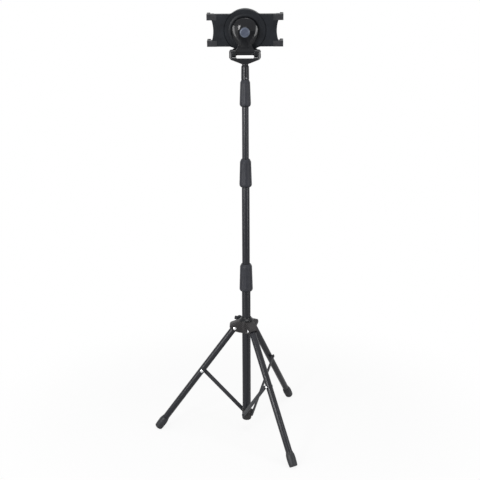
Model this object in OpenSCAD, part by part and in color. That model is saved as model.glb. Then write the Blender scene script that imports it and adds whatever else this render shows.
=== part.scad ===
// Adjustable tablet floor stand: folding tripod base, four-section twist-lock pole, tablet holder.
// Millimetres, +Z up, origin on the floor under the axis of the pole. The tablet faces +Y.

/* [Pole] */
// Outer diameter of the lowest pole tube
main_tube_d = 25; // [24:0.5:28]
// Drop in diameter from one pole tube to the next
tube_step = 3; // [2.8:0.1:3.4]
// Wall of every pole tube
tube_wall = 1; // [0.8:0.1:1.1]
// Height of the underside of the pole above the floor
pole_base_z = 34; // [30:1:42]
// Length of the lowest pole tube
main_tube_len = 474; // [464:2:520]
// Length of the top pole tube
tube_4_len = 410; // [360:5:440]
// How much longer the third pole tube is than the top one
tube_3_extra = 20; // [10:5:30]
// How much longer the second pole tube is than the third
tube_2_extra = 30; // [15:5:45]
// Second tube drawn out of the first, seen between the grips
section_2_out = 226; // [180:1:290]
// Third tube drawn out of the second, seen between the grips
section_3_out = 146; // [110:1:230]

/* [Twist grips] */
// Length of the lowest twist grip
grip_1_len = 83; // [76:1:88]
// Length of the middle twist grip
grip_2_len = 80; // [74:1:86]
// Length of the top twist grip
grip_3_len = 74; // [70:1:82]
// Flutes round each twist grip
flute_count = 18; // [12:1:24]

/* [Legs] */
// Angle of a leg from the vertical
leg_angle = 36; // [33:1:39]
// Outer diameter of a leg tube
leg_d = 19; // [17:0.5:19.5]
// Distance of a leg's pivot from the axis of the pole
leg_pivot_r = 33.8; // [33.4:0.1:36]
// Height of the leg pivots above the floor
leg_pivot_z = 330; // [322:1:340]
// Distance of the brace rivet from the leg pivot, along the leg
brace_rivet_at = 170; // [160:1:185]
// Width of a brace strap
brace_w = 12; // [10:0.5:13]
// Thickness of a brace strap
brace_t = 2; // [1.5:0.1:2.4]
// Length of a rubber foot
foot_len = 41; // [36:1:50]

/* [Holder] */
// Lean of the holder towards its back
rest_tilt = 8; // [0:0.5:10]
// Swivel axis above the tilt axis
swivel_rise = 57.75; // [57.5:0.25:64]
// Diameter of the round body of the holder
disc_d = 115; // [113:0.5:117]
// Width over the corner hooks, arms pushed in
holder_w = 207.6; // [204:0.5:216]
// Height of the arms
arm_h = 87; // [84:1:94]
// Height of a corner hook
hook_h = 16; // [15:0.5:22]
// Room for the tablet's thickness under the hooks
tablet_room = 9.3; // [7:0.1:14]

/* [Hidden] */
$fn = 64;

// Clearances
slide_gap = 0.2;
fit_gap = 0.05;
turn_gap = 0.3;
hub_play = 0.8;
link_play = 1.05;
link_side_play = 0.65;
tongue_gap = 0.3;
rail_gap = 0.4;
cut = 1;

// Pole tubes
tube_r = [for (i = [0:3]) (main_tube_d - i * tube_step) / 2];
tube_in_r = [for (r = tube_r) r - tube_wall];
cap_flange_h = 4;
main_bottom = pole_base_z + cap_flange_h;
grip_len = [grip_1_len, grip_2_len, grip_3_len];
grip_over = 13.6;
main_top = main_bottom + main_tube_len;
grip_1_top = main_top + grip_over;
grip_2_top = grip_1_top + section_2_out + grip_2_len;
grip_3_top = grip_2_top + section_3_out + grip_3_len;
grip_top = [grip_1_top, grip_2_top, grip_3_top];
tube_2_top = grip_2_top - grip_over;
tube_3_top = grip_3_top - grip_over;
neck_gap = 0.6;
neck_bottom = grip_3_top + neck_gap;
neck_socket_h = 31.4;
tube_4_top = neck_bottom + neck_socket_h - 0.4;
tube_top = [main_top, tube_2_top, tube_3_top, tube_4_top];
tube_3_len = tube_4_len + tube_3_extra;
tube_2_len = tube_3_len + tube_2_extra;
tube_len = [main_tube_len, tube_2_len, tube_3_len, tube_4_len];
plug_flange_h = 8;
plug_shank_h = 15;
plug_bore_r = 4;

// Twist grips and their collets
grip_bulge = [6.9, 6.7, 6.2];
grip_taper = 2;
grip_foot_h = 9;
grip_foot_in = 4;
grip_heel_in = 1.3;
grip_heel_share = 0.35;
grip_shoulder_h = 9;
grip_brow_in = 1.4;
grip_brow_share = 0.55;
grip_mouth_w = 1.6;
collet_wall = 2;
collet_skirt = 36;
collet_head = 8.5;
collet_tip = 1.5;
collet_slots = 4;
collet_slot_w = 1.4;
flute_r = 1.3;
flute_depth = 0.7;
flute_end = 2;
flute_faces = 24;

// Bottom of the pole
cap_r = tube_r[0] + 0.9;
cap_chamfer = 2.4;
cap_shank_h = 14;
collar_r = tube_r[0] + 1.4;
collar_bottom = main_bottom + 0.3;
collar_h = 31;
brace_pivot_r = 5.7;
brace_pivot_rise = 16.5;
brace_pivot_z = pole_base_z + brace_pivot_rise;
pad_w = 13;
pad_h = 20;
pad_y = tube_r[0] + 1.9;
pin_r = 2.5;
pin_depth = 2.2;
pin_head_r = 4.3;
pin_head_h = 2;

// Braces and legs
leg_azimuth = [180, 300, 60];
leg_r = leg_d / 2;
leg_wall = 1;
rivet_r = leg_pivot_r + brace_rivet_at * sin(leg_angle);
rivet_z = leg_pivot_z - brace_rivet_at * cos(leg_angle);
brace_run = rivet_r - brace_pivot_r;
brace_rise = rivet_z - brace_pivot_z;
brace_len = sqrt(brace_run * brace_run + brace_rise * brace_rise);
brace_angle = atan2(brace_run, brace_rise);
brace_y = pad_y + slide_gap;
leg_top_over = 9;
plug_cap_t = 1;
leg_plug_in = 5;
hub_pin_r = 3;
rivet_head_r = 4.5;
rivet_head_h = 2;
rivet_shoulder_r = 4;
sole_dip = 2;
foot_r = leg_r + 3.4;
foot_rim_r = leg_r + 1.1;
foot_end_r = 11.4;
foot_neck_in = 1;
foot_neck_h = 5;
foot_swell_in = 0.1;
foot_swell_h = 12;
foot_full_h = 19;
foot_toe_in = 0.5;
foot_toe_h = 11;
foot_web = 14;
foot_drop = leg_pivot_z + sole_dip - foot_end_r * sin(leg_angle);
foot_end = foot_drop / cos(leg_angle);
foot_start = foot_end - foot_len;
leg_end = foot_end - foot_web;

// Hub that slides on the pole
hub_bore_r = tube_r[0] + hub_play;
hub_r = 19.4;
hub_drop = 14;
hub_rise = 23;
hub_low = leg_pivot_z - hub_drop;
hub_high = leg_pivot_z + hub_rise;
hood_wall = 3.6;
pocket_side = 0.6;
pocket_half = leg_r + pocket_side;
hood_half = pocket_half + hood_wall;
hood_over = 15.2;
hood_out = leg_pivot_r + hood_over;
hood_corner = 6;
eave_rise = 11.5;
eave_z = leg_pivot_z + eave_rise;
lip_rise = 2.5;
lip_z = leg_pivot_z + lip_rise;
cheek_r = 9.5;
pocket_in = 19.4;
leg_corner_r = sqrt(pow(leg_top_over + plug_cap_t, 2) + leg_r * leg_r);
hub_ring_r = 21;
hub_ring_top_r = 14.4;
hub_ring_edge = 2;
hub_ring_h = 10;
knob_azimuth = 120;
knob_rise = 15.2;
knob_z = leg_pivot_z + knob_rise;
boss_r = 7.5;
boss_end = 29;
screw_r = 3;
screw_tip = tube_r[0] + 0.5;
nut_flats = 10;
nut_t = 5;
swivel_nut_t = 3.9;
nut_at = 21.5;
knob_start = 34;
knob_r = 8.5;
knob_h = 13;
knob_end_t = 3;
wing_span = 30;
wing_rest = 14;
wing_t = 10;
wing_h = 12;

// Yoke at the top of the pole
neck_r = 11.15;
neck_top_r = 10.65;
neck_h = 34.6;
throat_r = 8.6;
throat_h = 4;
hinge_rise = 70.4;
hinge_z = neck_bottom + hinge_rise;
yoke_half = 43;
yoke_drop = 29;
yoke_slope_drop = 16.9;
yoke_low = hinge_z - yoke_drop;
yoke_slope_z = hinge_z - yoke_slope_drop;
yoke_slope_x = 39.8;
yoke_side_rise = 5;
yoke_toe_w = 3;
yoke_toe_h = 1.3;
ear_in = 33.75;
ear_r = 9.8;
ear_corner = 6;
yoke_depth = 9.8;
slot_half = 24.3;
slot_drop = 13.8;
knuckle_drop = 12.4;
slot_floor = hinge_z - slot_drop;
knuckle_floor = hinge_z - knuckle_drop;
set_screw_r = 2;
set_screw_out = 0.4;
set_screw_z = 3.4;
set_screw_turn = 19;
tilt_bolt_r = 3;
tilt_bolt_in = 0.8;
tilt_head_r = 5.4;
tilt_recess_r = 6.2;
tilt_recess = 5;
tilt_head_t = 3.6;

// Swivel arm
barrel_r = 6;
knuckle_r = 12;
knuckle_end = 32.6;
washer_t = 0.9;
washer_r = 11.5;
arm_head_r = 36.4;
arm_waist = 20;
arm_waist_z = 19;
flare_z = 8;
flare_half = 24;
flare_y = 6;
plate_front = 2;
plate_back = 13;
boss_back = 18.2;
dome_r = 34;
dome_top_r = 16;
dome_front = -9;
seat_r = 15;
seat_front = -11;
ridge_half = 13;
bolt_r = 3;
bolt_head_r = 5.5;
bolt_well_r = 6.5;
bolt_head_front = -9;
bolt_head_back = -5;
bolt_end = 27;
cap_button_r = 13.4;
cap_front = -14.6;
cap_bevel_w = 3.4;
cap_bevel_h = 1.5;
cap_lip = 0.6;
cap_dish = 0.7;
cap_plug_r = 6.2;
cap_plug_h = 1.4;
wave_washer_r = 12;

// Holder body, measured along Y from the tilt axis
disc_r = disc_d / 2;
rim_back = 16;
floor_back = 19;
floor_front = 24;
cover_back = 28.6;
cover_front = 32.6;
pad_front = 34.2;
ring_in_r = 38.6;
ring_top_r = 42.4;
ring_out_r = 44.6;
ring_back = 14.9;
ring_bevel_h = 0.8;
rim_wall = 2.5;
disc_chamfer = 2;
window_margin = 1.5;
tongue_low = 5;
tongue_high = 30;
rail_end = 43;
outer_rail = 5.6;
cover_lip = 2.2;
cover_lip_t = 1.4;
cover_lip_half = 38;
cover_screw_x = 30;
cover_screw_r = 1.2;
cover_screw_head_r = 2.8;
cover_screw_head_t = 2;
front_pad_w = 72;
front_pad_h = 46;
front_pad_corner = 8;
post_x = 36;
post_r = 1.2;
coil_r = 2;
wire_t = 0.8;
spring_end_gap = 0.3;
spring_z = (tongue_low + tongue_high) / 2;
spring_slot = 4.5;
spring_hook = 40;
window_half = tongue_high + rail_gap;
window_in = sqrt(pow(disc_r - rim_wall, 2) - window_half * window_half) - window_margin;

// Arms with corner hooks
arm_back = 16.5;
arm_front = 28.3;
hug_gap = 0.35;
hook_reach = 13.3;
hook_root = 6.5;
arm_edge = holder_w / 2 - hook_reach;
arm_waist_dip = 4.3;
waist_lap = 0.5;
waist_half = arm_h / 2 - hook_h + waist_lap;
waist_r = (waist_half * waist_half + arm_waist_dip * arm_waist_dip) / (2 * arm_waist_dip);
arm_inner = 36;
tongue_end = 44;
tongue_lap = 4;
tongue_root = 62;
hook_wall = 4.5;
hook_lip = 9;
hook_lip_t = 3.3;
hook_pad_t = 1.5;
hook_front = pad_front + tablet_room + hook_lip_t;
back_pad_t = 1.2;
back_pad_w = 27;
arm_skin = 3;
arm_pocket_in = 66;
arm_pocket_rim = 4;
arm_pocket_rib = 6;

// Colours
charcoal = "#45464b";
black_gloss = "#15161a";
black_matte = "#1e2126";
grip_grey = "#46474b";
rubber = "#3a3b3e";
hub_grey = "#3b3a3b";
nickel = "#c9ccd1";
button_grey = "#59616f";
nylon = "#d9d8d2";

// Cylinder along X, from x0 to x1
module x_rod(x0, x1, r) {
    translate([x0, 0, 0])
        rotate([0, 90, 0])
            cylinder(h = x1 - x0, r = r);
}

// Cylinder along Y, from y0 to y1
module y_rod(y0, y1, r) {
    translate([0, y1, 0])
        rotate([90, 0, 0])
            cylinder(h = y1 - y0, r = r);
}

// Flat outline in X and Z, made thick from y0 to y1
module y_slab(y0, y1) {
    translate([0, y1, 0])
        rotate([90, 0, 0])
            linear_extrude(height = y1 - y0)
                children();
}

// Hexagon by its width across flats
module hexagon(flats) {
    r = flats / sqrt(3);
    polygon([for (a = [0:60:300]) [r * cos(a), r * sin(a)]]);
}

// Round tube along Z
module tube(r, inner_r, z0, z1) {
    translate([0, 0, z0])
        difference() {
            cylinder(h = z1 - z0, r = r);
            translate([0, 0, -cut])
                cylinder(h = z1 - z0 + 2 * cut, r = inner_r);
        }
}

// Space of one leg: X runs out from the pole, Y round it
module leg_space(k) {
    rotate([0, 0, leg_azimuth[k]])
        children();
}

// Space along one leg: Z runs down the leg from its pivot
module along_leg(k) {
    leg_space(k)
        translate([leg_pivot_r, 0, leg_pivot_z])
            rotate([0, 180 - leg_angle, 0])
                children();
}

// Space of the tilting holder: origin on the tilt axis
module holder_space() {
    translate([0, 0, hinge_z])
        rotate([rest_tilt, 0, 0])
            children();
}

// Space of the turning holder: origin on the swivel axis, on the level of the tilt axis
module swivel_space() {
    holder_space()
        translate([0, 0, swivel_rise])
            children();
}

module pole_tube(i) {
    color(charcoal)
        tube(tube_r[i], tube_in_r[i], tube_top[i] - tube_len[i], tube_top[i]);
}

module main_tube() {
    pole_tube(0);
}

module tube_2() {
    pole_tube(1);
}

module tube_3() {
    pole_tube(2);
}

module tube_4() {
    pole_tube(3);
}

// Plug on the foot of an inner tube, which guides it in the outer one
module guide_plug(i) {
    bottom = tube_top[i] - tube_len[i];
    flange_r = tube_in_r[i - 1] - slide_gap;
    shank_r = tube_in_r[i] - fit_gap;
    color(nylon)
        translate([0, 0, bottom])
            rotate_extrude()
                polygon([[plug_bore_r, -plug_flange_h], [flange_r, -plug_flange_h], [flange_r, 0],
                    [shank_r, 0], [shank_r, plug_shank_h], [plug_bore_r, plug_shank_h]]);
}

module guide_plug_2() {
    guide_plug(1);
}

module guide_plug_3() {
    guide_plug(2);
}

module guide_plug_4() {
    guide_plug(3);
}

// Split clamp ring on the top end of an outer tube
module collet(i) {
    skirt_in = tube_r[i] + fit_gap;
    skirt_out = tube_r[i] + collet_wall;
    jaw_in = tube_r[i + 1] + slide_gap;
    color(nylon)
        translate([0, 0, tube_top[i]])
            difference() {
                rotate_extrude()
                    polygon([[skirt_in, -collet_skirt], [skirt_out, -collet_skirt], [skirt_out, 0],
                        [jaw_in + collet_tip, collet_head], [jaw_in, collet_head], [jaw_in, fit_gap],
                        [skirt_in, fit_gap]]);
                for (n = [0:collet_slots - 1])
                    rotate([0, 0, n * 360 / collet_slots])
                        translate([0, -collet_slot_w / 2, cut])
                            cube([skirt_out + cut, collet_slot_w, collet_head]);
            }
}

module collet_1() {
    collet(0);
}

module collet_2() {
    collet(1);
}

module collet_3() {
    collet(2);
}

// Fluted twist grip over a collet, wider at its foot
module grip(i) {
    length = grip_len[i];
    foot_out = tube_r[i] + grip_bulge[i];
    head_out = foot_out - grip_taper;
    bore = tube_r[i] + turn_gap;
    hole = tube_r[i + 1] + turn_gap;
    room = tube_r[i] + collet_wall + turn_gap;
    room_low = grip_over + collet_skirt + turn_gap;
    room_high = grip_over - collet_head - turn_gap;
    side_h = length - grip_foot_h - grip_shoulder_h;
    lean = atan2(grip_taper, side_h);
    color(grip_grey)
        translate([0, 0, grip_top[i]])
            difference() {
                rotate_extrude()
                    polygon([[bore, -length], [foot_out - grip_foot_in, -length],
                        [foot_out - grip_heel_in, -length + grip_foot_h * grip_heel_share],
                        [foot_out, -length + grip_foot_h], [head_out, -grip_shoulder_h],
                        [head_out - grip_brow_in, -grip_shoulder_h * grip_brow_share],
                        [hole + grip_mouth_w, 0], [hole, 0],
                        [hole, -room_high], [room, -room_high], [room, -room_low], [bore, -room_low]]);
                for (n = [0:flute_count - 1])
                    rotate([0, 0, (n + 0.5) * 360 / flute_count])
                        translate([foot_out + flute_r - flute_depth, 0, -length + grip_foot_h + flute_end])
                            rotate([0, -lean, 0])
                                cylinder(h = side_h - 2 * flute_end, r = flute_r, $fn = flute_faces);
            }
}

module grip_1() {
    grip(0);
}

module grip_2() {
    grip(1);
}

module grip_3() {
    grip(2);
}

module end_cap() {
    shank_r = tube_in_r[0] - fit_gap;
    color(rubber)
        translate([0, 0, pole_base_z])
            rotate_extrude()
                polygon([[0, 0], [cap_r - cap_chamfer, 0], [cap_r, cap_chamfer],
                    [cap_r, cap_flange_h - fit_gap], [shank_r, cap_flange_h - fit_gap],
                    [shank_r, cap_flange_h + cap_shank_h], [0, cap_flange_h + cap_shank_h]]);
}

// Collar low on the pole, with a flat pad for each brace
module brace_collar() {
    color(hub_grey)
        difference() {
            union() {
                translate([0, 0, collar_bottom])
                    cylinder(h = collar_h, r = collar_r);
                for (k = [0:2])
                    leg_space(k)
                        translate([brace_pivot_r - pad_w / 2, -pad_y, brace_pivot_z - pad_h / 2 + 4])
                            cube([pad_w, pad_y, pad_h]);
            }
            translate([0, 0, collar_bottom - cut])
                cylinder(h = collar_h + 2 * cut, r = tube_r[0] + fit_gap);
            for (k = [0:2])
                leg_space(k)
                    translate([brace_pivot_r, 0, brace_pivot_z])
                        y_rod(-pad_y - cut, -pad_y + pin_depth + fit_gap, pin_r + fit_gap);
        }
}

// Headed pins that hold the lower ends of the braces
module collar_pins() {
    outer = brace_y + brace_t + slide_gap;
    color(nickel)
        for (k = [0:2])
            leg_space(k)
                translate([brace_pivot_r, 0, brace_pivot_z]) {
                    y_rod(-outer, -pad_y + pin_depth, pin_r);
                    y_rod(-outer - pin_head_h, -outer, pin_head_r);
                }
}

// Flat strap from the collar to the rivet on a leg
module brace(k) {
    color(charcoal)
        leg_space(k)
            translate([brace_pivot_r, -brace_y, brace_pivot_z])
                rotate([0, brace_angle, 0])
                    difference() {
                        union() {
                            translate([-brace_w / 2, -brace_t, 0])
                                cube([brace_w, brace_t, brace_len]);
                            y_rod(-brace_t, 0, brace_w / 2);
                            translate([0, 0, brace_len])
                                y_rod(-brace_t, 0, brace_w / 2);
                        }
                        y_rod(-brace_t - cut, cut, pin_r + fit_gap);
                        translate([0, 0, brace_len])
                            y_rod(-brace_t - cut, cut, pin_r + link_play);
                    }
}

module brace_1() {
    brace(0);
}

module brace_2() {
    brace(1);
}

module brace_3() {
    brace(2);
}

module leg(k) {
    color(charcoal)
        along_leg(k)
            difference() {
                translate([0, 0, -leg_top_over])
                    cylinder(h = leg_end + leg_top_over, r = leg_r);
                translate([0, 0, -leg_top_over - cut])
                    cylinder(h = leg_end + leg_top_over + 2 * cut, r = leg_r - leg_wall);
                y_rod(-leg_r - cut, leg_r + cut, hub_pin_r + fit_gap);
                translate([0, 0, brace_rivet_at])
                    y_rod(-leg_r - cut, leg_r + cut, pin_r + fit_gap);
            }
}

module leg_1() {
    leg(0);
}

module leg_2() {
    leg(1);
}

module leg_3() {
    leg(2);
}

// Plug that closes the top of a leg tube
module leg_plug(k) {
    color(rubber)
        along_leg(k)
            translate([0, 0, -leg_top_over]) {
                translate([0, 0, -plug_cap_t])
                    cylinder(h = plug_cap_t, r = leg_r);
                cylinder(h = leg_plug_in, r = leg_r - leg_wall - fit_gap);
            }
}

module leg_plug_1() {
    leg_plug(0);
}

module leg_plug_2() {
    leg_plug(1);
}

module leg_plug_3() {
    leg_plug(2);
}

// Rubber foot, cut level where it stands on the floor
module foot(k) {
    bore = leg_r + fit_gap;
    color(rubber)
        difference() {
            along_leg(k)
                rotate_extrude()
                    polygon([[bore, foot_start], [foot_rim_r, foot_start],
                        [foot_r - foot_neck_in, foot_start + foot_neck_h],
                        [foot_r - foot_swell_in, foot_start + foot_swell_h],
                        [foot_r, foot_start + foot_full_h], [foot_r - foot_toe_in, foot_end - foot_toe_h],
                        [foot_end_r, foot_end],
                        [0, foot_end], [0, leg_end + fit_gap], [bore, leg_end + fit_gap]]);
            leg_space(k)
                translate([0, -foot_r - cut, -foot_r])
                    cube([2 * foot_end, 2 * (foot_r + cut), foot_r]);
        }
}

module foot_1() {
    foot(0);
}

module foot_2() {
    foot(1);
}

module foot_3() {
    foot(2);
}

// Shouldered rivet through a leg, which carries the upper end of a brace
module brace_rivet(k) {
    shoulder = brace_y - link_side_play;
    outer = brace_y + brace_t + link_side_play;
    inner = leg_r + fit_gap;
    color(nickel)
        along_leg(k)
            translate([0, 0, brace_rivet_at]) {
                y_rod(-outer, inner, pin_r);
                y_rod(-shoulder, -inner, rivet_shoulder_r);
                y_rod(-outer - rivet_head_h, -outer, rivet_head_r);
                y_rod(inner, inner + rivet_head_h, rivet_head_r);
            }
}

module brace_rivet_1() {
    brace_rivet(0);
}

module brace_rivet_2() {
    brace_rivet(1);
}

module brace_rivet_3() {
    brace_rivet(2);
}

// Side outline of a hood: the roof falls to the eave, the cheek is round about the pivot
module hood_outline() {
    polygon([[0, hub_low], [hub_r, hub_low], [leg_pivot_r, leg_pivot_z - cheek_r], [hood_out, lip_z],
        [hood_out, eave_z], [hub_r, hub_high], [0, hub_high]]);
    translate([leg_pivot_r, leg_pivot_z])
        circle(r = cheek_r);
}

// Top outline of a hood, with round outer corners
module hood_plan() {
    inner_half = hood_half - hood_corner;
    translate([0, -hood_half])
        square([hood_out - hood_corner, 2 * hood_half]);
    translate([0, -inner_half])
        square([hood_out, 2 * inner_half]);
    for (y = [-inner_half, inner_half])
        translate([hood_out - hood_corner, y])
            circle(r = hood_corner);
}

// Hub that slides on the pole, with a hood over the top of each leg
module hub() {
    color(hub_grey)
        difference() {
            union() {
                translate([0, 0, hub_low])
                    cylinder(h = hub_high - hub_low, r = hub_r);
                for (k = [0:2])
                    leg_space(k)
                        intersection() {
                            y_slab(-hood_half, hood_half)
                                hood_outline();
                            translate([0, 0, hub_low])
                                linear_extrude(height = hub_high - hub_low)
                                    hood_plan();
                        }
                rotate([0, 0, knob_azimuth])
                    translate([0, 0, knob_z])
                        x_rod(hub_bore_r, boss_end, boss_r);
            }
            translate([0, 0, hub_low - cut])
                cylinder(h = hub_high - hub_low + 2 * cut, r = hub_bore_r);
            for (k = [0:2])
                leg_space(k)
                    hub_pocket();
            rotate([0, 0, knob_azimuth])
                translate([0, 0, knob_z]) {
                    x_rod(0, boss_end + cut, screw_r + fit_gap);
                    translate([nut_at - fit_gap, 0, 0])
                        rotate([0, 90, 0])
                            linear_extrude(height = boss_end)
                                hexagon(nut_flats + 2 * fit_gap);
                }
        }
}

// Room for one leg in the hub, round above the pivot where the top of the leg swings
module hub_pocket() {
    translate([pocket_in, -pocket_half, hub_low - cut])
        cube([hood_out + cut - pocket_in, 2 * pocket_half, leg_pivot_z - hub_low + cut]);
    translate([leg_pivot_r, -pocket_half, hub_low - cut])
        cube([hood_over + cut, 2 * pocket_half, lip_z - hub_low + cut]);
    translate([leg_pivot_r, 0, leg_pivot_z]) {
        y_rod(-pocket_half, pocket_half, leg_corner_r + turn_gap);
        y_rod(-hood_half - cut, hood_half + cut, hub_pin_r + fit_gap);
    }
}

// Tapered collar on top of the hub
module hub_ring() {
    color(rubber)
        translate([0, 0, hub_high])
            rotate_extrude()
                polygon([[hub_bore_r, 0], [hub_ring_r, 0], [hub_ring_r, hub_ring_edge],
                    [hub_ring_top_r, hub_ring_h], [hub_bore_r, hub_ring_h]]);
}

module hub_pins() {
    reach = hood_half + fit_gap;
    color(nickel)
        for (k = [0:2])
            leg_space(k)
                translate([leg_pivot_r, 0, leg_pivot_z]) {
                    y_rod(-reach, reach, hub_pin_r);
                    y_rod(-reach - rivet_head_h, -reach, rivet_head_r);
                    y_rod(reach, reach + rivet_head_h, rivet_head_r);
                }
}

module lock_nut() {
    color(nickel)
        rotate([0, 0, knob_azimuth])
            translate([nut_at, 0, knob_z])
                rotate([0, 90, 0])
                    linear_extrude(height = nut_t)
                        difference() {
                            hexagon(nut_flats);
                            circle(r = screw_r + fit_gap);
                        }
}

module lock_screw() {
    color(nickel)
        rotate([0, 0, knob_azimuth])
            translate([0, 0, knob_z])
                x_rod(screw_tip, knob_start + knob_h - knob_end_t, screw_r);
}

module lock_knob() {
    color(black_matte)
        rotate([0, 0, knob_azimuth])
            translate([knob_start, 0, knob_z])
                difference() {
                    union() {
                        x_rod(0, knob_h, knob_r);
                        rotate([wing_rest, 0, 0])
                            translate([knob_h - wing_h, -wing_span / 2, -wing_t / 2])
                                cube([wing_h, wing_span, wing_t]);
                    }
                    x_rod(-cut, knob_h - knob_end_t + fit_gap, screw_r + fit_gap);
                }
}

// Front outline of the yoke
module yoke_outline() {
    polygon([[-throat_r, yoke_low], [throat_r, yoke_low], [throat_r + yoke_toe_w, yoke_low + yoke_toe_h],
        [yoke_slope_x, yoke_slope_z], [yoke_half, yoke_slope_z + yoke_side_rise],
        [yoke_half, hinge_z + ear_r - ear_corner], [yoke_half - ear_corner, hinge_z + ear_r],
        [-yoke_half + ear_corner, hinge_z + ear_r], [-yoke_half, hinge_z + ear_r - ear_corner],
        [-yoke_half, yoke_slope_z + yoke_side_rise], [-yoke_slope_x, yoke_slope_z],
        [-throat_r - yoke_toe_w, yoke_low + yoke_toe_h]]);
    for (side = [-1, 1])
        translate([side * (yoke_half - ear_corner), hinge_z + ear_r - ear_corner])
            circle(r = ear_corner);
}

// Forked yoke with a hollow neck over the top tube
module yoke() {
    neck_top = neck_bottom + neck_h;
    color(black_gloss)
        difference() {
            union() {
                rotate_extrude()
                    polygon([[0, neck_bottom], [neck_r, neck_bottom], [neck_top_r, neck_top],
                        [throat_r, neck_top + throat_h], [throat_r, yoke_low + 3], [0, yoke_low + 3]]);
                intersection() {
                    y_slab(-yoke_depth, yoke_depth)
                        yoke_outline();
                    union() {
                        translate([0, 0, hinge_z])
                            x_rod(-yoke_half, yoke_half, ear_r);
                        translate([-yoke_half, -yoke_depth, yoke_low - cut])
                            cube([2 * yoke_half, 2 * yoke_depth, hinge_z - yoke_low + cut]);
                    }
                }
            }
            translate([-ear_in, -yoke_depth - cut, knuckle_floor])
                cube([2 * ear_in, 2 * (yoke_depth + cut), 2 * knuckle_r]);
            translate([-slot_half, -yoke_depth - cut, slot_floor])
                cube([2 * slot_half, 2 * (yoke_depth + cut), 2 * knuckle_r]);
            translate([0, 0, neck_bottom - cut])
                cylinder(h = neck_socket_h + cut, r = tube_r[3] + fit_gap);
            translate([0, 0, neck_bottom + set_screw_z])
                rotate([0, 0, set_screw_turn])
                    y_rod(-neck_r - cut, 0, set_screw_r + fit_gap);
            translate([0, 0, hinge_z]) {
                x_rod(-yoke_half - cut, yoke_half + cut, tilt_bolt_r + fit_gap);
                x_rod(yoke_half - tilt_recess, yoke_half + cut, tilt_recess_r);
                translate([-yoke_half - cut, 0, 0])
                    rotate([0, 90, 0])
                        linear_extrude(height = tilt_recess + cut)
                            hexagon(nut_flats + 2 * fit_gap);
            }
        }
}

module set_screw() {
    color(nickel)
        translate([0, 0, neck_bottom + set_screw_z])
            rotate([0, 0, set_screw_turn])
                y_rod(-neck_r - set_screw_out, -tube_r[3] - turn_gap, set_screw_r);
}

module tilt_bolt() {
    seat = yoke_half - tilt_recess + fit_gap;
    color(nickel)
        translate([0, 0, hinge_z]) {
            x_rod(-yoke_half + tilt_bolt_in, seat, tilt_bolt_r);
            x_rod(seat, seat + tilt_head_t, tilt_head_r);
        }
}

module tilt_nut() {
    color(nickel)
        translate([-yoke_half + tilt_recess - fit_gap - tilt_head_t, 0, hinge_z])
            rotate([0, 90, 0])
                linear_extrude(height = tilt_head_t)
                    difference() {
                        hexagon(nut_flats);
                        circle(r = tilt_bolt_r + fit_gap);
                    }
}

// Thin washers between the arm and the ears of the yoke
module tilt_washers() {
    start = knuckle_end + (ear_in - knuckle_end - washer_t) / 2;
    color(nylon)
        translate([0, 0, hinge_z])
            for (side = [-1, 1])
                difference() {
                    x_rod(side * (start + washer_t / 2) - washer_t / 2,
                        side * (start + washer_t / 2) + washer_t / 2, washer_r);
                    x_rod(-yoke_half, yoke_half, tilt_bolt_r + 2 * fit_gap);
                }
}

// Outline of the swivel arm: round head drawn down to a waist, then flared to the barrel
module arm_outline() {
    drop = swivel_rise - arm_waist_z;
    reach = sqrt(arm_waist * arm_waist + drop * drop);
    turn = acos(arm_head_r / reach) - atan2(drop, arm_waist);
    touch_x = arm_head_r * cos(turn);
    touch_z = swivel_rise + arm_head_r * sin(turn);
    translate([0, swivel_rise])
        circle(r = arm_head_r);
    polygon([[-arm_waist, arm_waist_z], [arm_waist, arm_waist_z], [touch_x, touch_z],
        [0, swivel_rise], [-touch_x, touch_z]]);
}

module swivel_arm() {
    color(black_gloss)
        holder_space()
            difference() {
                union() {
                    x_rod(-slot_half - cut, slot_half + cut, barrel_r);
                    for (side = [-1, 1])
                        x_rod(side * (slot_half + knuckle_end) / 2 - (knuckle_end - slot_half) / 2,
                            side * (slot_half + knuckle_end) / 2 + (knuckle_end - slot_half) / 2,
                            knuckle_r);
                    y_slab(-flare_y, flare_y)
                        polygon([[-knuckle_end, 0], [knuckle_end, 0], [knuckle_end, flare_z - 2],
                            [flare_half, flare_z + 2], [arm_waist, arm_waist_z + cut],
                            [-arm_waist, arm_waist_z + cut], [-flare_half, flare_z + 2],
                            [-knuckle_end, flare_z - 2]]);
                    y_slab(plate_front, plate_back)
                        arm_outline();
                    y_slab(dome_front, plate_back)
                        polygon([[-ridge_half, flare_z], [ridge_half, flare_z],
                            [ridge_half, swivel_rise], [-ridge_half, swivel_rise]]);
                    translate([0, 0, swivel_rise]) {
                        y_rod(plate_back - cut, boss_back, arm_head_r);
                        translate([0, plate_front + fit_gap, 0])
                            rotate([90, 0, 0])
                                cylinder(h = plate_front + fit_gap - dome_front, r1 = dome_r,
                                    r2 = dome_top_r);
                        y_rod(seat_front, dome_front + cut, seat_r);
                    }
                }
                x_rod(-knuckle_end - cut, knuckle_end + cut, tilt_bolt_r + fit_gap);
                translate([0, 0, swivel_rise]) {
                    y_rod(seat_front - cut, boss_back + cut, bolt_r + fit_gap);
                    y_rod(seat_front - cut, bolt_head_back, bolt_well_r);
                }
            }
}

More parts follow.
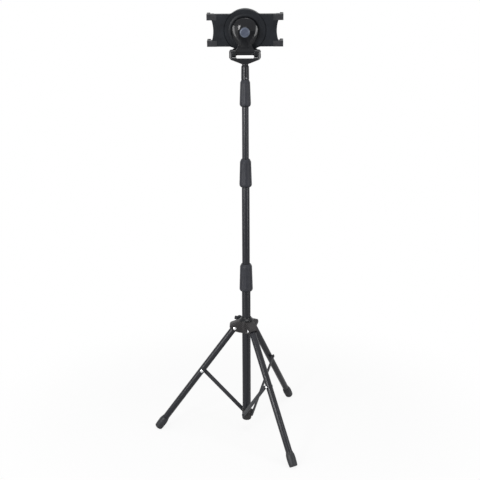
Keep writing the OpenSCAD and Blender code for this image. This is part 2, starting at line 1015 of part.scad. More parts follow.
// Round cap over the head of the swivel bolt: bevelled rim, sunk face
module swivel_cap() {
    color(button_grey)
        swivel_space()
            difference() {
                union() {
                    y_rod(cap_front + cap_bevel_h, seat_front - fit_gap, cap_button_r);
                    translate([0, cap_front + cap_bevel_h, 0])
                        rotate([90, 0, 0])
                            cylinder(h = cap_bevel_h, r1 = cap_button_r, r2 = cap_button_r - cap_bevel_w);
                    y_rod(cap_front + cap_bevel_h, seat_front + cap_plug_h, cap_plug_r);
                }
                y_rod(cap_front - cut, cap_front + cap_dish, cap_button_r - cap_bevel_w - cap_lip);
            }
}

module swivel_bolt() {
    color(nickel)
        swivel_space() {
            y_rod(bolt_head_front, bolt_head_back - slide_gap, bolt_head_r);
            y_rod(bolt_head_back - slide_gap, bolt_end, bolt_r);
        }
}

module swivel_nut() {
    start = floor_back + cut + fit_gap;
    color(nickel)
        swivel_space()
            y_slab(start, start + swivel_nut_t)
                difference() {
                    hexagon(nut_flats);
                    circle(r = bolt_r + fit_gap);
                }
}

module swivel_washer() {
    color(nylon)
        swivel_space()
            difference() {
                y_rod(boss_back + fit_gap, floor_back - fit_gap, wave_washer_r);
                y_rod(boss_back - cut, floor_back + cut, bolt_r + 2 * fit_gap);
            }
}

// Round back of the holder: rim, low ring round the sunk floor, rails for the arms
module rear_shell() {
    rail_out = tongue_high + rail_gap + outer_rail;
    color(black_matte)
        swivel_space()
            difference() {
                union() {
                    rotate([-90, 0, 0])
                        rotate_extrude()
                            polygon([[0, floor_back], [ring_in_r, floor_back], [ring_in_r, ring_back],
                                [ring_top_r, ring_back], [ring_out_r, ring_back + ring_bevel_h],
                                [ring_out_r, rim_back],
                                [disc_r - disc_chamfer, rim_back], [disc_r, rim_back + disc_chamfer],
                                [disc_r, cover_back], [disc_r - rim_wall, cover_back],
                                [disc_r - rim_wall, floor_front], [0, floor_front]]);
                    for (side = [-1, 1])
                        translate([-rail_end, floor_front - cut,
                                side > 0 ? rail_out - outer_rail : -rail_out])
                            cube([2 * rail_end, cover_back - floor_front + cut, outer_rail]);
                    translate([-rail_end, floor_front - cut, -tongue_low + rail_gap])
                        cube([2 * rail_end, cover_back - floor_front + cut, 2 * (tongue_low - rail_gap)]);
                    for (side = [-1, 1])
                        translate([side * post_x, 0, side * spring_z])
                            y_rod(floor_front - cut, arm_front, post_r);
                }
                translate([-disc_r - cut, floor_front, tongue_low - rail_gap])
                    cube([disc_r + cut - window_in, cover_back, tongue_high - tongue_low + 2 * rail_gap]);
                translate([window_in, floor_front, -tongue_high - rail_gap])
                    cube([disc_r + cut - window_in, cover_back, tongue_high - tongue_low + 2 * rail_gap]);
                y_rod(0, floor_front, bolt_r + 2 * fit_gap);
                y_slab(floor_back + cut, cover_back + cut)
                    hexagon(nut_flats + 2 * fit_gap);
                cover_screw_places()
                    y_rod(floor_front - cut, cover_back + cut, cover_screw_r + fit_gap);
            }
}

// Places of the four screws that hold the front cover
module cover_screw_places() {
    rail_mid = tongue_high + rail_gap + outer_rail / 2;
    for (x = [-cover_screw_x, cover_screw_x])
        for (z = [-rail_mid, rail_mid])
            translate([x, 0, z])
                children();
}

module front_cover() {
    color(black_matte)
        swivel_space()
            difference() {
                union() {
                    rotate([-90, 0, 0])
                        rotate_extrude()
                            polygon([[0, cover_back + fit_gap], [disc_r, cover_back + fit_gap],
                                [disc_r, cover_front - disc_chamfer], [disc_r - disc_chamfer, cover_front],
                                [0, cover_front]]);
                    y_slab(cover_back + fit_gap, cover_back + fit_gap + cover_lip_t)
                        intersection() {
                            circle(r = disc_r + cover_lip);
                            square([2 * (disc_r + cover_lip), 2 * cover_lip_half], center = true);
                        }
                }
                cover_screw_places() {
                    y_rod(cover_back - cut, cover_front, cover_screw_r + fit_gap);
                    y_rod(cover_front - cover_screw_head_t - slide_gap, cover_front + cut,
                        cover_screw_head_r + slide_gap);
                }
            }
}

module cover_screws() {
    seat = cover_front - cover_screw_head_t - slide_gap + fit_gap;
    color(nickel)
        swivel_space()
            cover_screw_places() {
                y_rod(floor_front - cut + slide_gap, seat, cover_screw_r);
                y_rod(seat, seat + cover_screw_head_t, cover_screw_head_r);
            }
}

// Soft pad on the front, on which the tablet rests
module front_pad() {
    inner_w = front_pad_w - 2 * front_pad_corner;
    inner_h = front_pad_h - 2 * front_pad_corner;
    color(rubber)
        swivel_space()
            y_slab(cover_front + fit_gap, pad_front) {
                square([front_pad_w, inner_h], center = true);
                square([inner_w, front_pad_h], center = true);
                for (x = [-inner_w / 2, inner_w / 2])
                    for (z = [-inner_h / 2, inner_h / 2])
                        translate([x, z])
                            circle(r = front_pad_corner);
            }
}

// Closed-coil tension spring between a post on the shell and an arm
module arm_spring(side) {
    color(nickel)
        swivel_space()
            translate([0, (floor_front + cover_back) / 2, side * spring_z])
                difference() {
                    x_rod(side > 0 ? -spring_hook + spring_end_gap : -post_x + post_r + spring_end_gap,
                        side > 0 ? post_x - post_r - spring_end_gap : spring_hook - spring_end_gap, coil_r);
                    x_rod(-spring_hook, spring_hook, coil_r - wire_t);
                }
}

module left_spring() {
    arm_spring(1);
}

module right_spring() {
    arm_spring(-1);
}

// Right-hand arm: end plate, two corner hooks and the tongue that slides in the shell
module sliding_arm() {
    half = arm_h / 2;
    tip = holder_w / 2;
    union() {
        difference() {
            union() {
                y_slab(arm_back, arm_front)
                    difference() {
                        translate([arm_inner, -half])
                            square([arm_edge - arm_inner, arm_h]);
                        circle(r = disc_r + hug_gap);
                        translate([arm_edge - arm_waist_dip + waist_r, 0])
                            circle(r = waist_r);
                    }
                for (side = [-1, 1])
                    hook(side);
                translate([disc_r + hug_gap - tongue_lap, arm_front - tongue_lap, -tongue_high])
                    cube([tongue_root - disc_r + tongue_lap, tongue_lap, tongue_high - tongue_low]);
            }
            for (side = [-1, 1])
                translate([arm_pocket_in, arm_back + arm_skin,
                        side > 0 ? arm_pocket_rib / 2 : -half + arm_pocket_rim])
                    cube([arm_edge - arm_waist_dip - arm_pocket_rim - arm_pocket_in,
                        arm_front, half - arm_pocket_rim - arm_pocket_rib / 2]);
        }
        difference() {
            translate([-tongue_end, floor_front + tongue_gap, -tongue_high])
                cube([tongue_root + tongue_end, arm_front - floor_front - tongue_gap,
                    tongue_high - tongue_low]);
            translate([-tongue_end - cut, 0, -spring_z - spring_slot])
                cube([tongue_end + spring_hook + cut, 2 * arm_front, 2 * spring_slot]);
        }
    }
}

// Corner hook of an arm, which reaches over the edge of the tablet
module hook(side) {
    half = arm_h / 2;
    tip = holder_w / 2;
    low = side > 0 ? half - hook_h : -half;
    translate([arm_edge - hook_root, arm_back, low])
        cube([tip - arm_edge + hook_root, cover_front - arm_back, hook_h]);
    translate([tip - back_pad_w, arm_back - back_pad_t, low])
        cube([back_pad_w, back_pad_t + cut, hook_h]);
    translate([tip - hook_wall, cover_front - cut, low])
        cube([hook_wall, hook_front - cover_front + cut, hook_h]);
    translate([tip - hook_lip, hook_front - hook_lip_t, low])
        cube([hook_lip, hook_lip_t, hook_h]);
}

// Soft pads of an arm: under the tablet and against its edge
module arm_pads() {
    half = arm_h / 2;
    tip = holder_w / 2;
    inner = tip - hook_wall;
    for (side = [-1, 1])
        translate([0, 0, side * (half - hook_h / 2)]) {
            translate([arm_edge - hook_root + 1, cover_front + fit_gap, -hook_h / 2 + 1.5])
                cube([inner - arm_edge + hook_root - 1 - fit_gap, pad_front - cover_front - fit_gap,
                    hook_h - 3]);
            translate([inner - hook_pad_t, pad_front - fit_gap, -hook_h / 2 + 1.5])
                cube([hook_pad_t - fit_gap, tablet_room - fit_gap, hook_h - 3]);
        }
}

module right_arm() {
    color(black_matte)
        swivel_space()
            sliding_arm();
}

module left_arm() {
    color(black_matte)
        swivel_space()
            rotate([0, 180, 0])
                sliding_arm();
}

module right_pads() {
    color(rubber)
        swivel_space()
            arm_pads();
}

module left_pads() {
    color(rubber)
        swivel_space()
            rotate([0, 180, 0])
                arm_pads();
}

main_tube();
tube_2();
tube_3();
tube_4();
end_cap();
brace_collar();
collar_pins();
collet_1();
collet_2();
collet_3();
grip_1();
grip_2();
grip_3();
guide_plug_2();
guide_plug_3();
guide_plug_4();
hub();
hub_ring();
hub_pins();
lock_nut();
lock_screw();
lock_knob();
brace_1();
brace_2();
brace_3();
leg_1();
leg_2();
leg_3();
leg_plug_1();
leg_plug_2();
leg_plug_3();
foot_1();
foot_2();
foot_3();
brace_rivet_1();
brace_rivet_2();
brace_rivet_3();
yoke();
set_screw();
tilt_bolt();
tilt_nut();
tilt_washers();
swivel_arm();
swivel_cap();
swivel_bolt();
swivel_nut();
swivel_washer();
rear_shell();
front_cover();
cover_screws();
front_pad();
left_spring();
right_spring();
left_arm();
right_arm();
left_pads();
right_pads();
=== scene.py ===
import bpy
import bmesh
import math
from mathutils import Matrix, Vector


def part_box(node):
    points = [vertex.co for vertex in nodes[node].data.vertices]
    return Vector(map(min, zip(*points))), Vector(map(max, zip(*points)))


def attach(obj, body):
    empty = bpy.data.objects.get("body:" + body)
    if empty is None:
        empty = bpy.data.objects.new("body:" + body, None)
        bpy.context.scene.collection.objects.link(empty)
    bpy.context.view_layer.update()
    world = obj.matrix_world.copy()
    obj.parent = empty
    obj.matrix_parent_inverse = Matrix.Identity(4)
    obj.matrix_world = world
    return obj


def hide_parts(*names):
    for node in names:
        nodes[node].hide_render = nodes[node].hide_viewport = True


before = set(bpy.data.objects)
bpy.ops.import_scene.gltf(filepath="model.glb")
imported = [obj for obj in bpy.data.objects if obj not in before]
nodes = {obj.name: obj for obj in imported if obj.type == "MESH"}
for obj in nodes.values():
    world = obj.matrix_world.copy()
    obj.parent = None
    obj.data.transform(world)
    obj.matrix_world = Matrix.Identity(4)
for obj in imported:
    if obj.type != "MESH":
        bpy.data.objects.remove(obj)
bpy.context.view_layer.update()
scene = bpy.context.scene
mm = 0.001
print("frame loaded:", len(nodes), "nodes")

# Places shared by several pieces, in millimetres, as the solids have them
stand = {
    "hingeHeight": 1122.6,
    "holderLean": 8,
    "swivelRise": 57.75,
    "legPivotOut": 33.8,
    "legPivotHeight": 330,
    "legAngle": 36,
    "legTurns": (180, 300, 60),
    "bracePivotOut": 5.7,
    "bracePivotHeight": 50.5,
    "braceRivetAlong": 170,
}


def shifted(x, y, z):
    return Matrix.Translation((x, y, z))


def spun(degrees, axis):
    return Matrix.Rotation(math.radians(degrees), 4, axis)


holderSpace = shifted(0, 0, stand["hingeHeight"]) @ spun(stand["holderLean"], "X")
swivelSpace = holderSpace @ shifted(0, 0, stand["swivelRise"])
alongX = spun(90, "Y")
alongY = spun(-90, "X")
facing = spun(90, "X")
everyLeg = range(len(stand["legTurns"]))
legPivot = shifted(stand["legPivotOut"], 0, stand["legPivotHeight"])


def legSpace(leg):
    return spun(stand["legTurns"][leg], "Z")


def alongLeg(leg):
    return legSpace(leg) @ legPivot @ spun(180 - stand["legAngle"], "Y")


def newObject(name, data):
    made = bpy.data.objects.new(name, data)
    scene.collection.objects.link(made)
    return made


# Colours are written as sRGB hex and used as linear values
def linear(code):
    values = [int(code[i:i + 2], 16) / 255 for i in (1, 3, 5)]
    return tuple(v / 12.92 if v <= 0.04045 else ((v + 0.055) / 1.055) ** 2.4 for v in values) + (1,)


# One shader node with its settings and the sockets that feed it
def addNode(tree, kind, settings=None, feeds=None):
    node = tree.nodes.new("ShaderNode" + kind)
    for key, value in (settings or {}).items():
        if key == "stops":
            for stop, (place, colour) in zip(node.color_ramp.elements, value):
                stop.position, stop.color = place, colour
        elif key in node.inputs:
            node.inputs[key].default_value = value
        else:
            setattr(node, key, value)
    for key, source in (feeds or {}).items():
        tree.links.new(source, node.inputs[key])
    return node


# How the two patterns of every finish are drawn, and where the slow one turns from one shade to the other
patterns = {"slow": {"Detail": 3.0, "Roughness": 0.55}, "fine": {"Detail": 2.0}, "tintStops": (0.3, 0.7),
            "roughStops": {"From Min": 0.25, "From Max": 0.75}}


# A finish: shader values, a slow drift between two shades, and a fine relief.
# grain and drift are real sizes in millimetres; stretch pulls the pattern along an axis.
def makeFinish(name, shades, shader, drift, grain, relief, roughSpan, stretch=(1, 1, 1), cells=False):
    finish = bpy.data.materials.new(name)
    finish.use_nodes = True
    tree = finish.node_tree
    surface = tree.nodes["Principled BSDF"]
    for key, value in shader.items():
        surface.inputs[key].default_value = value
    place = addNode(tree, "TexCoord").outputs["Object"]
    drawn = addNode(tree, "Mapping", {"Scale": stretch}, {"Vector": place}).outputs["Vector"]
    slow = addNode(tree, "TexNoise", {"Scale": 1 / (drift * mm), **patterns["slow"]},
                   {"Vector": drawn})
    stops = [(stop, linear(shade)) for stop, shade in zip(patterns["tintStops"], shades)]
    tint = addNode(tree, "ValToRGB", {"stops": stops}, {"Fac": slow.outputs["Fac"]})
    tree.links.new(tint.outputs["Color"], surface.inputs["Base Color"])
    if cells:
        fine = addNode(tree, "TexVoronoi", {"Scale": 1 / (grain * mm)}, {"Vector": drawn})
        height = fine.outputs["Distance"]
    else:
        fine = addNode(tree, "TexNoise", {"Scale": 1 / (grain * mm), **patterns["fine"]},
                       {"Vector": drawn})
        height = fine.outputs["Fac"]
    rough = addNode(tree, "MapRange",
                    {**patterns["roughStops"], "To Min": roughSpan[0], "To Max": roughSpan[1]},
                    {"Value": slow.outputs["Fac"]})
    tree.links.new(rough.outputs["Result"], surface.inputs["Roughness"])
    bump = addNode(tree, "Bump", {"Strength": relief[0], "Distance": relief[1] * mm},
                   {"Height": height})
    tree.links.new(bump.outputs["Normal"], surface.inputs["Normal"])
    return finish


finishes = {
    # Powder-coated steel tube: satin charcoal, fine orange peel drawn out along the tube
    "tube": makeFinish("powderCoatedSteel", ("#16171c", "#1d1e24"),
                       {"Specular IOR Level": 0.32, "IOR": 1.5}, drift=38, grain=1.1,
                       relief=(0.04, 0.05), roughSpan=(0.24, 0.3), stretch=(1, 1, 0.12)),
    # Powder-coated steel strap: the same coat, flat and a little duller
    "strap": makeFinish("powderCoatedStrap", ("#242529", "#2c2d31"),
                        {"Specular IOR Level": 0.3, "IOR": 1.5}, drift=26, grain=1.0,
                        relief=(0.12, 0.06), roughSpan=(0.33, 0.45)),
    # Soft-touch polypropylene grip: even dark grey with a broad dull sheen
    "grip": makeFinish("softTouchPolypropylene", ("#24252b", "#2c2d33"),
                       {"Specular IOR Level": 0.28, "IOR": 1.49}, drift=16, grain=0.9,
                       relief=(0.14, 0.07), roughSpan=(0.36, 0.48), cells=True),
    # Glass-filled nylon casting: warm dark grey, faint flow marks, dry surface
    "hub": makeFinish("glassFilledNylon", ("#201f20", "#2c2a2b"),
                      {"Specular IOR Level": 0.26, "IOR": 1.53}, drift=9, grain=0.8,
                      relief=(0.2, 0.09), roughSpan=(0.36, 0.52)),
    # Moulded ABS with a spark-eroded texture: near black, very fine stipple
    "matte": makeFinish("texturedAbs", ("#15171b", "#1c1f24"),
                        {"Specular IOR Level": 0.16, "IOR": 1.53}, drift=30, grain=0.9,
                        relief=(0.2, 0.07), roughSpan=(0.34, 0.48), cells=True),
    # Polished ABS: black and glossy, with a slight waviness from moulding
    "gloss": makeFinish("polishedAbs", ("#0e0f12", "#131418"),
                        {"Specular IOR Level": 0.24, "IOR": 1.53}, drift=45, grain=14,
                        relief=(0.03, 0.1), roughSpan=(0.08, 0.14)),
    # Natural rubber moulding: dull dark grey, dusty speckle
    "rubber": makeFinish("mouldedRubber", ("#212225", "#2b2c30"),
                         {"Specular IOR Level": 0.28, "IOR": 1.52}, drift=8, grain=0.7,
                         relief=(0.16, 0.07), roughSpan=(0.34, 0.5)),
    # Nickel-plated steel: bright, slightly clouded by the tumbling before plating
    "nickel": makeFinish("nickelPlatedSteel", ("#dcdee0", "#ebecec"), {"Metallic": 1.0}, drift=5,
                         grain=0.5, relief=(0.06, 0.03), roughSpan=(0.16, 0.28)),
    # Nickel plate left dull: grey metal with a broad soft shine
    "dullNickel": makeFinish("dullNickelSteel", ("#85878a", "#939598"), {"Metallic": 1.0}, drift=5,
                             grain=0.5, relief=(0.06, 0.03), roughSpan=(0.36, 0.46)),
    # Painted ABS cap: blue-grey with a faint metallic flake
    "cap": makeFinish("greyFlakeAbs", ("#474e5c", "#525a69"),
                      {"Specular IOR Level": 0.4, "IOR": 1.53, "Metallic": 0.15}, drift=6, grain=0.45,
                      relief=(0.08, 0.04), roughSpan=(0.26, 0.36), cells=True),
    # Painted ABS, sunk face of the cap: the same paint with painted shade in the dish, darker and flatter
    "capFaceShaded": makeFinish("greyFlakeAbsPaintedShade", ("#3f4554", "#494f5f"),
                          {"Specular IOR Level": 0.3, "IOR": 1.53, "Metallic": 0.1}, drift=6, grain=0.45,
                          relief=(0.08, 0.04), roughSpan=(0.34, 0.44), cells=True),
    # Natural nylon: milky off-white bearing plastic
    "nylon": makeFinish("naturalNylon", ("#d2d1c9", "#dedcd5"),
                        {"Specular IOR Level": 0.45, "IOR": 1.53}, drift=12, grain=1.2,
                        relief=(0.08, 0.05), roughSpan=(0.35, 0.48)),
    # Black nylon washer: the same bearing plastic in near black
    "blackNylon": makeFinish("blackNylon", ("#131418", "#1a1b1f"),
                             {"Specular IOR Level": 0.3, "IOR": 1.53}, drift=12, grain=1.2,
                             relief=(0.08, 0.05), roughSpan=(0.35, 0.48)),
}
print("finishes made:", len(finishes))


# Rounds chosen corners of a flat outline
def roundCorners(bm, corners, radii, segments):
    for corner, radius in zip(corners, radii):
        if radius:
            bmesh.ops.bevel(bm, geom=[corner], offset=radius, offset_type="OFFSET", affect="VERTICES",
                            segments=segments, profile=0.5, material=-1)


# Profile of (radius, height, corner rounding), turned about Z
def turned(profile, steps=72, segments=3):
    bm = bmesh.new()
    corners = [bm.verts.new((p[0], 0, p[1])) for p in profile]
    bm.faces.new(corners)
    roundCorners(bm, corners, [p[2] if len(p) > 2 else 0 for p in profile], segments)
    bmesh.ops.delete(bm, geom=bm.faces[:], context="FACES_ONLY")
    core = [e for e in bm.edges if all(v.co.x < 1e-5 for v in e.verts)]
    bmesh.ops.delete(bm, geom=core, context="EDGES")
    bmesh.ops.spin(bm, geom=bm.verts[:] + bm.edges[:], cent=(0, 0, 0), axis=(0, 0, 1),
                   angle=math.tau, steps=steps, use_merge=True)
    bmesh.ops.remove_doubles(bm, verts=bm.verts, dist=1e-4)
    bmesh.ops.recalc_face_normals(bm, faces=bm.faces)
    return bm


# Plain round bar about Z
def rod(low, high, radius, steps):
    return turned([(0, low), (radius, low), (radius, high), (0, high)], steps)


# Corners of a profile or outline, each with its rounding
def rounded(corners, roundings):
    return [corner + (rounding,) for corner, rounding in zip(corners, roundings)]


# Corners turned about Z, with the roundings and steps of the piece
def lathe(piece, corners):
    return turned(rounded(corners, piece["roundings"]), piece["steps"])


# Open tube about Z, with the wall, rims and steps of the piece
def openTube(piece, low, high, radius):
    inner, rim = radius - piece["wall"], piece["rim"]
    profile = [(inner, low, rim), (radius, low, rim), (radius, high, rim), (inner, high, rim)]
    return turned(profile, piece["steps"])


# Edges where the flat caps of a slab meet its sides
def capEdges(bm, axis):
    return [e for e in bm.edges if len({abs(f.normal[axis]) > 0.95 for f in e.link_faces}) == 2]


def bevelEdges(bm, edges, width, segments=3):
    bmesh.ops.bevel(bm, geom=edges, offset=width, offset_type="OFFSET", affect="EDGES",
                    segments=segments, profile=0.5, material=-1, clamp_overlap=True)


# Outline of (x, z, corner rounding), made thick along Y from front to back
def slab(outline, front, back, rim=0, segments=4, rimSegments=3):
    bm = bmesh.new()
    corners = [bm.verts.new((p[0], front, p[1])) for p in outline]
    bm.faces.new(corners)
    roundCorners(bm, corners, [p[2] if len(p) > 2 else 0 for p in outline], segments)
    grown = bmesh.ops.extrude_face_region(bm, geom=bm.faces[:])["geom"]
    bmesh.ops.translate(bm, verts=only(grown, bmesh.types.BMVert), vec=(0, back - front, 0))
    bmesh.ops.recalc_face_normals(bm, faces=bm.faces)
    if rim:
        bevelEdges(bm, capEdges(bm, 1), rim, rimSegments)
    return bm


# Block between two corners with rounded edges
def block(low, high, rounding=0, segments=2):
    bm = bmesh.new()
    bmesh.ops.create_cube(bm, size=1)
    low, high = Vector(low), Vector(high)
    bmesh.ops.scale(bm, vec=high - low, verts=bm.verts)
    bmesh.ops.translate(bm, vec=(low + high) / 2, verts=bm.verts)
    if rounding:
        bevelEdges(bm, bm.edges[:], rounding, segments)
    return bm


# Verts or edges out of what an operator gives back
def only(geom, kind):
    return [element for element in geom if isinstance(element, kind)]


# Gives a second finish to the faces whose centre passes the test
def secondFinish(bm, test):
    for face in bm.faces:
        face.material_index = int(test(face.calc_center_median()))


def moved(bm, matrix):
    bm.transform(matrix)
    if matrix.determinant() < 0:
        bmesh.ops.reverse_faces(bm, faces=bm.faces)
    return bm


# Several closed shells as one mesh
def gathered(*shells):
    held = bpy.data.meshes.new("held")
    total = bmesh.new()
    for shell in shells:
        shell.to_mesh(held)
        shell.free()
        total.from_mesh(held)
    bpy.data.meshes.remove(held)
    return total


# Union, difference or intersection of two shells
def shaped(bm, other, operation):
    pair = []
    for source in (bm, other):
        mesh = bpy.data.meshes.new("held")
        source.to_mesh(mesh)
        source.free()
        pair.append(newObject("held", mesh))
    cut = pair[0].modifiers.new("shape", "BOOLEAN")
    cut.operation, cut.solver, cut.object = operation, "EXACT", pair[1]
    bpy.context.view_layer.update()
    result = bmesh.new()
    result.from_object(pair[0], bpy.context.evaluated_depsgraph_get())
    for obj in pair:
        mesh = obj.data
        bpy.data.objects.remove(obj)
        bpy.data.meshes.remove(mesh)
    bmesh.ops.remove_doubles(result, verts=result.verts, dist=1e-3)
    return result


# Makes the piece, puts it on its body and lets it stand for its CAD nodes
def addPiece(name, bm, finish, body, stands, edge=0, segments=2, crease=32):
    bmesh.ops.scale(bm, vec=(mm, mm, mm), verts=bm.verts)
    for face in bm.faces:
        face.smooth = True
    mesh = bpy.data.meshes.new(name)
    bm.to_mesh(mesh)
    bm.free()
    for layer in [a for a in mesh.attributes if a.name == "custom_normal"]:
        mesh.attributes.remove(layer)
    mesh.set_sharp_from_angle(angle=math.radians(crease))
    for part in finish if isinstance(finish, tuple) else (finish,):
        mesh.materials.append(finishes[part])
    piece = newObject(name, mesh)
    if edge:
        soften = piece.modifiers.new("edges", "BEVEL")
        soften.width, soften.segments, soften.profile = edge * mm, segments, 0.5
        soften.limit_method, soften.angle_limit = "ANGLE", math.radians(38)
        soften.harden_normals = False
        soften.use_clamp_overlap = True
        soften.miter_outer = "MITER_ARC"
    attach(piece, body)
    if stands:
        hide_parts(*stands)
    return piece


# Copy of a CAD node in millimetres, merged so that its edges can be rounded
def nodeCopy(node):
    bm = bmesh.new()
    bm.from_mesh(nodes[node].data)
    bmesh.ops.remove_doubles(bm, verts=bm.verts, dist=1e-6)
    bmesh.ops.scale(bm, vec=(1 / mm,) * 3, verts=bm.verts)
    bmesh.ops.dissolve_limit(bm, angle_limit=math.radians(0.5), verts=bm.verts, edges=bm.edges)
    return bm


def nodeSpan(node):
    low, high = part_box(node)
    return low / mm, high / mm


# Pole tubes, with a slightly turned-in rim at both ends
poleTubes = {
    "wall": 1, "rim": 0.35, "steps": 96,
    "tubes": (("poleTubeLowest", "main_tube", "pole_base"), ("poleTubeSecond", "tube_2", "section_2"),
              ("poleTubeThird", "tube_3", "section_3"), ("poleTubeTop", "tube_4", "section_4")),
}
for name, node, body in poleTubes["tubes"]:
    low, high = nodeSpan(node)
    tube = openTube(poleTubes, low.z, high.z, (high.x - low.x) / 2)
    addPiece(name, tube, "tube", body, [node])
print("pole tubes made")

# Fluted twist grips: wide foot, light taper, rolled shoulder. Steps of their profile are (inwards, upwards,
# rounding) from the foot's lower edge and from the shoulder, and the crown is measured down from the top.
grips = {
    "flutes": 18, "perFlute": 8, "fluteDepth": 0.45, "fluteWidth": 0.62, "fluteFrom": 2.5, "fluteFlat": 2,
    "fluteFade": 2.5, "fluteRings": (2, 3, 4.5), "fluteWall": 0.5,
    "taper": 2, "footHeight": 9, "shoulderHeight": 9, "footShadeBand": 3.95, "footRounding": 2,
    "footSteps": ((4, 0, 1.2), (1.2, 3.2, 0.8), (1.0, 3.9, 0.3), (0.5, 4.3, 0.4)),
    "shoulderSteps": ((0, -0.9, 0.3), (0.45, -0.3, 0.3), (0, 0.5, 0.3), (0.15, 1.8, 1.2)),
    "crown": (1.4, 4.9, 1.0), "mouthWall": 2.2, "mouthRoundings": (0.8, 0.3), "boreRounding": 0.5,
    "boreGap": 0.3, "roomLow": 49.9, "roomHigh": 4.8, "roomWall": 2.3,
    "grips": (("gripLower", "grip_1", "lower_grip", 12.5, 11),
              ("gripMiddle", "grip_2", "middle_grip", 11, 9.5),
              ("gripUpper", "grip_3", "upper_grip", 9.5, 8)),
}
for name, node, body, tubeRadius, innerRadius in grips["grips"]:
    low, high = nodeSpan(node)
    foot = (high.x - low.x) / 2
    head = foot - grips["taper"]
    bottom, top = low.z, high.z
    footTop, shoulder = bottom + grips["footHeight"], top - grips["shoulderHeight"]
    bore, hole = tubeRadius + grips["boreGap"], innerRadius + grips["boreGap"]
    room = tubeRadius + grips["roomWall"]

    def side(z):
        return foot - grips["taper"] * (z - footTop) / (shoulder - footTop)

    rings = [footTop + step for step in grips["fluteRings"]] + [(footTop + shoulder) / 2]
    rings += [shoulder - step for step in reversed(grips["fluteRings"])]
    crownIn, crownDown, crownRounding = grips["crown"]
    mouthRounding, holeRounding = grips["mouthRoundings"]
    roomTop, roomFloor = top - grips["roomHigh"], top - grips["roomLow"]
    profile = [(bore, bottom, grips["boreRounding"])]
    profile += [(foot - inset, bottom + rise, rounding) for inset, rise, rounding in grips["footSteps"]]
    profile += [(foot, footTop, grips["footRounding"])] + [(side(z), z) for z in rings]
    profile += [(head - inset, shoulder + rise, rounding)
                for inset, rise, rounding in grips["shoulderSteps"]]
    profile += [(head - crownIn, top - crownDown, crownRounding),
                (hole + grips["mouthWall"], top, mouthRounding), (hole, top, holeRounding),
                (hole, roomTop), (room, roomTop), (room, roomFloor), (bore, roomFloor)]
    bm = turned(profile, grips["flutes"] * grips["perFlute"])
    pitch = math.tau / grips["flutes"]
    for v in bm.verts:
        out = math.hypot(v.co.x, v.co.y)
        fromEnd = min(v.co.z - footTop, shoulder - v.co.z)
        if fromEnd > grips["fluteFrom"] and out > room + grips["fluteWall"]:
            turn = math.atan2(v.co.y, v.co.x) / pitch
            nearness = abs(turn - round(turn)) * 2
            dip = grips["fluteDepth"] * max(0, 1 - (nearness / grips["fluteWidth"]) ** 2)
            fade = min(1, (fromEnd - grips["fluteFlat"]) / grips["fluteFade"])
            scale = (out - dip * fade) / out
            v.co.x, v.co.y = v.co.x * scale, v.co.y * scale
    # The foot's under chamfer takes the darker matte finish: painted shade under the grip
    secondFinish(bm, lambda centre: centre.z < bottom + grips["footShadeBand"])
    addPiece(name, bm, ("grip", "matte"), body, [node])
print("twist grips made")

# Rubber cap in the lower end of the pole
endCap = {"chamfer": 2.4, "flange": 3.95, "shankRadius": 11.4, "roundings": (0, 1.2, 0.9, 0.4, 0, 0.6, 0),
          "steps": 84}
low, high = nodeSpan("end_cap")
capRadius, flange = (high.x - low.x) / 2, low.z + endCap["flange"]
corners = ((0, low.z), (capRadius - endCap["chamfer"], low.z), (capRadius, low.z + endCap["chamfer"]),
           (capRadius, flange), (endCap["shankRadius"], flange), (endCap["shankRadius"], high.z), (0, high.z))
addPiece("poleEndCap", lathe(endCap, corners), "rubber", "pole_base", ["end_cap"])

# Collar low on the pole, edges eased as cast
addPiece("braceCollar", nodeCopy("brace_collar"), "hub", "pole_base", ["brace_collar"],
         edge=0.7, segments=3)


# Rivet head on the XY plane, facing up: a short straight edge under a dome
def rivetHead(radius, height):
    edge, edgeRounding = height * 0.35, 0.3
    domeOut, domeUp, domeRounding = radius * 0.62, height * 0.86, radius * 0.3
    return turned([(0, 0), (radius, 0), (radius, edge, edgeRounding), (domeOut, domeUp, domeRounding),
                   (0, height)], steps=40)


# Pin along Y with a head at one or both ends; frontFinish is the front head's material
def headedPin(pin, bothEnds=True, frontFinish=0):
    shells = [moved(rod(pin["front"], pin["back"], pin["radius"], steps=32), alongY)]
    ends = [(pin["front"], facing, frontFinish)] + [(pin["back"], alongY, 0)] * bothEnds
    for end, way, finish in ends:
        head = rivetHead(pin["headRadius"], pin["headHeight"])
        secondFinish(head, lambda centre: finish)
        shells.append(moved(head, shifted(0, end, 0) @ way))
    return gathered(*shells)


# Pins of the lower brace ends
collarPins = {"front": -16.8, "back": -12.2, "radius": 2.5, "headRadius": 4.3, "headHeight": 2}
bracePivot = shifted(stand["bracePivotOut"], 0, stand["bracePivotHeight"])
pins = [moved(headedPin(collarPins, bothEnds=False), legSpace(leg) @ bracePivot) for leg in everyLeg]
addPiece("collarPins", gathered(*pins), "strap", "pole_base", ["collar_pins"])

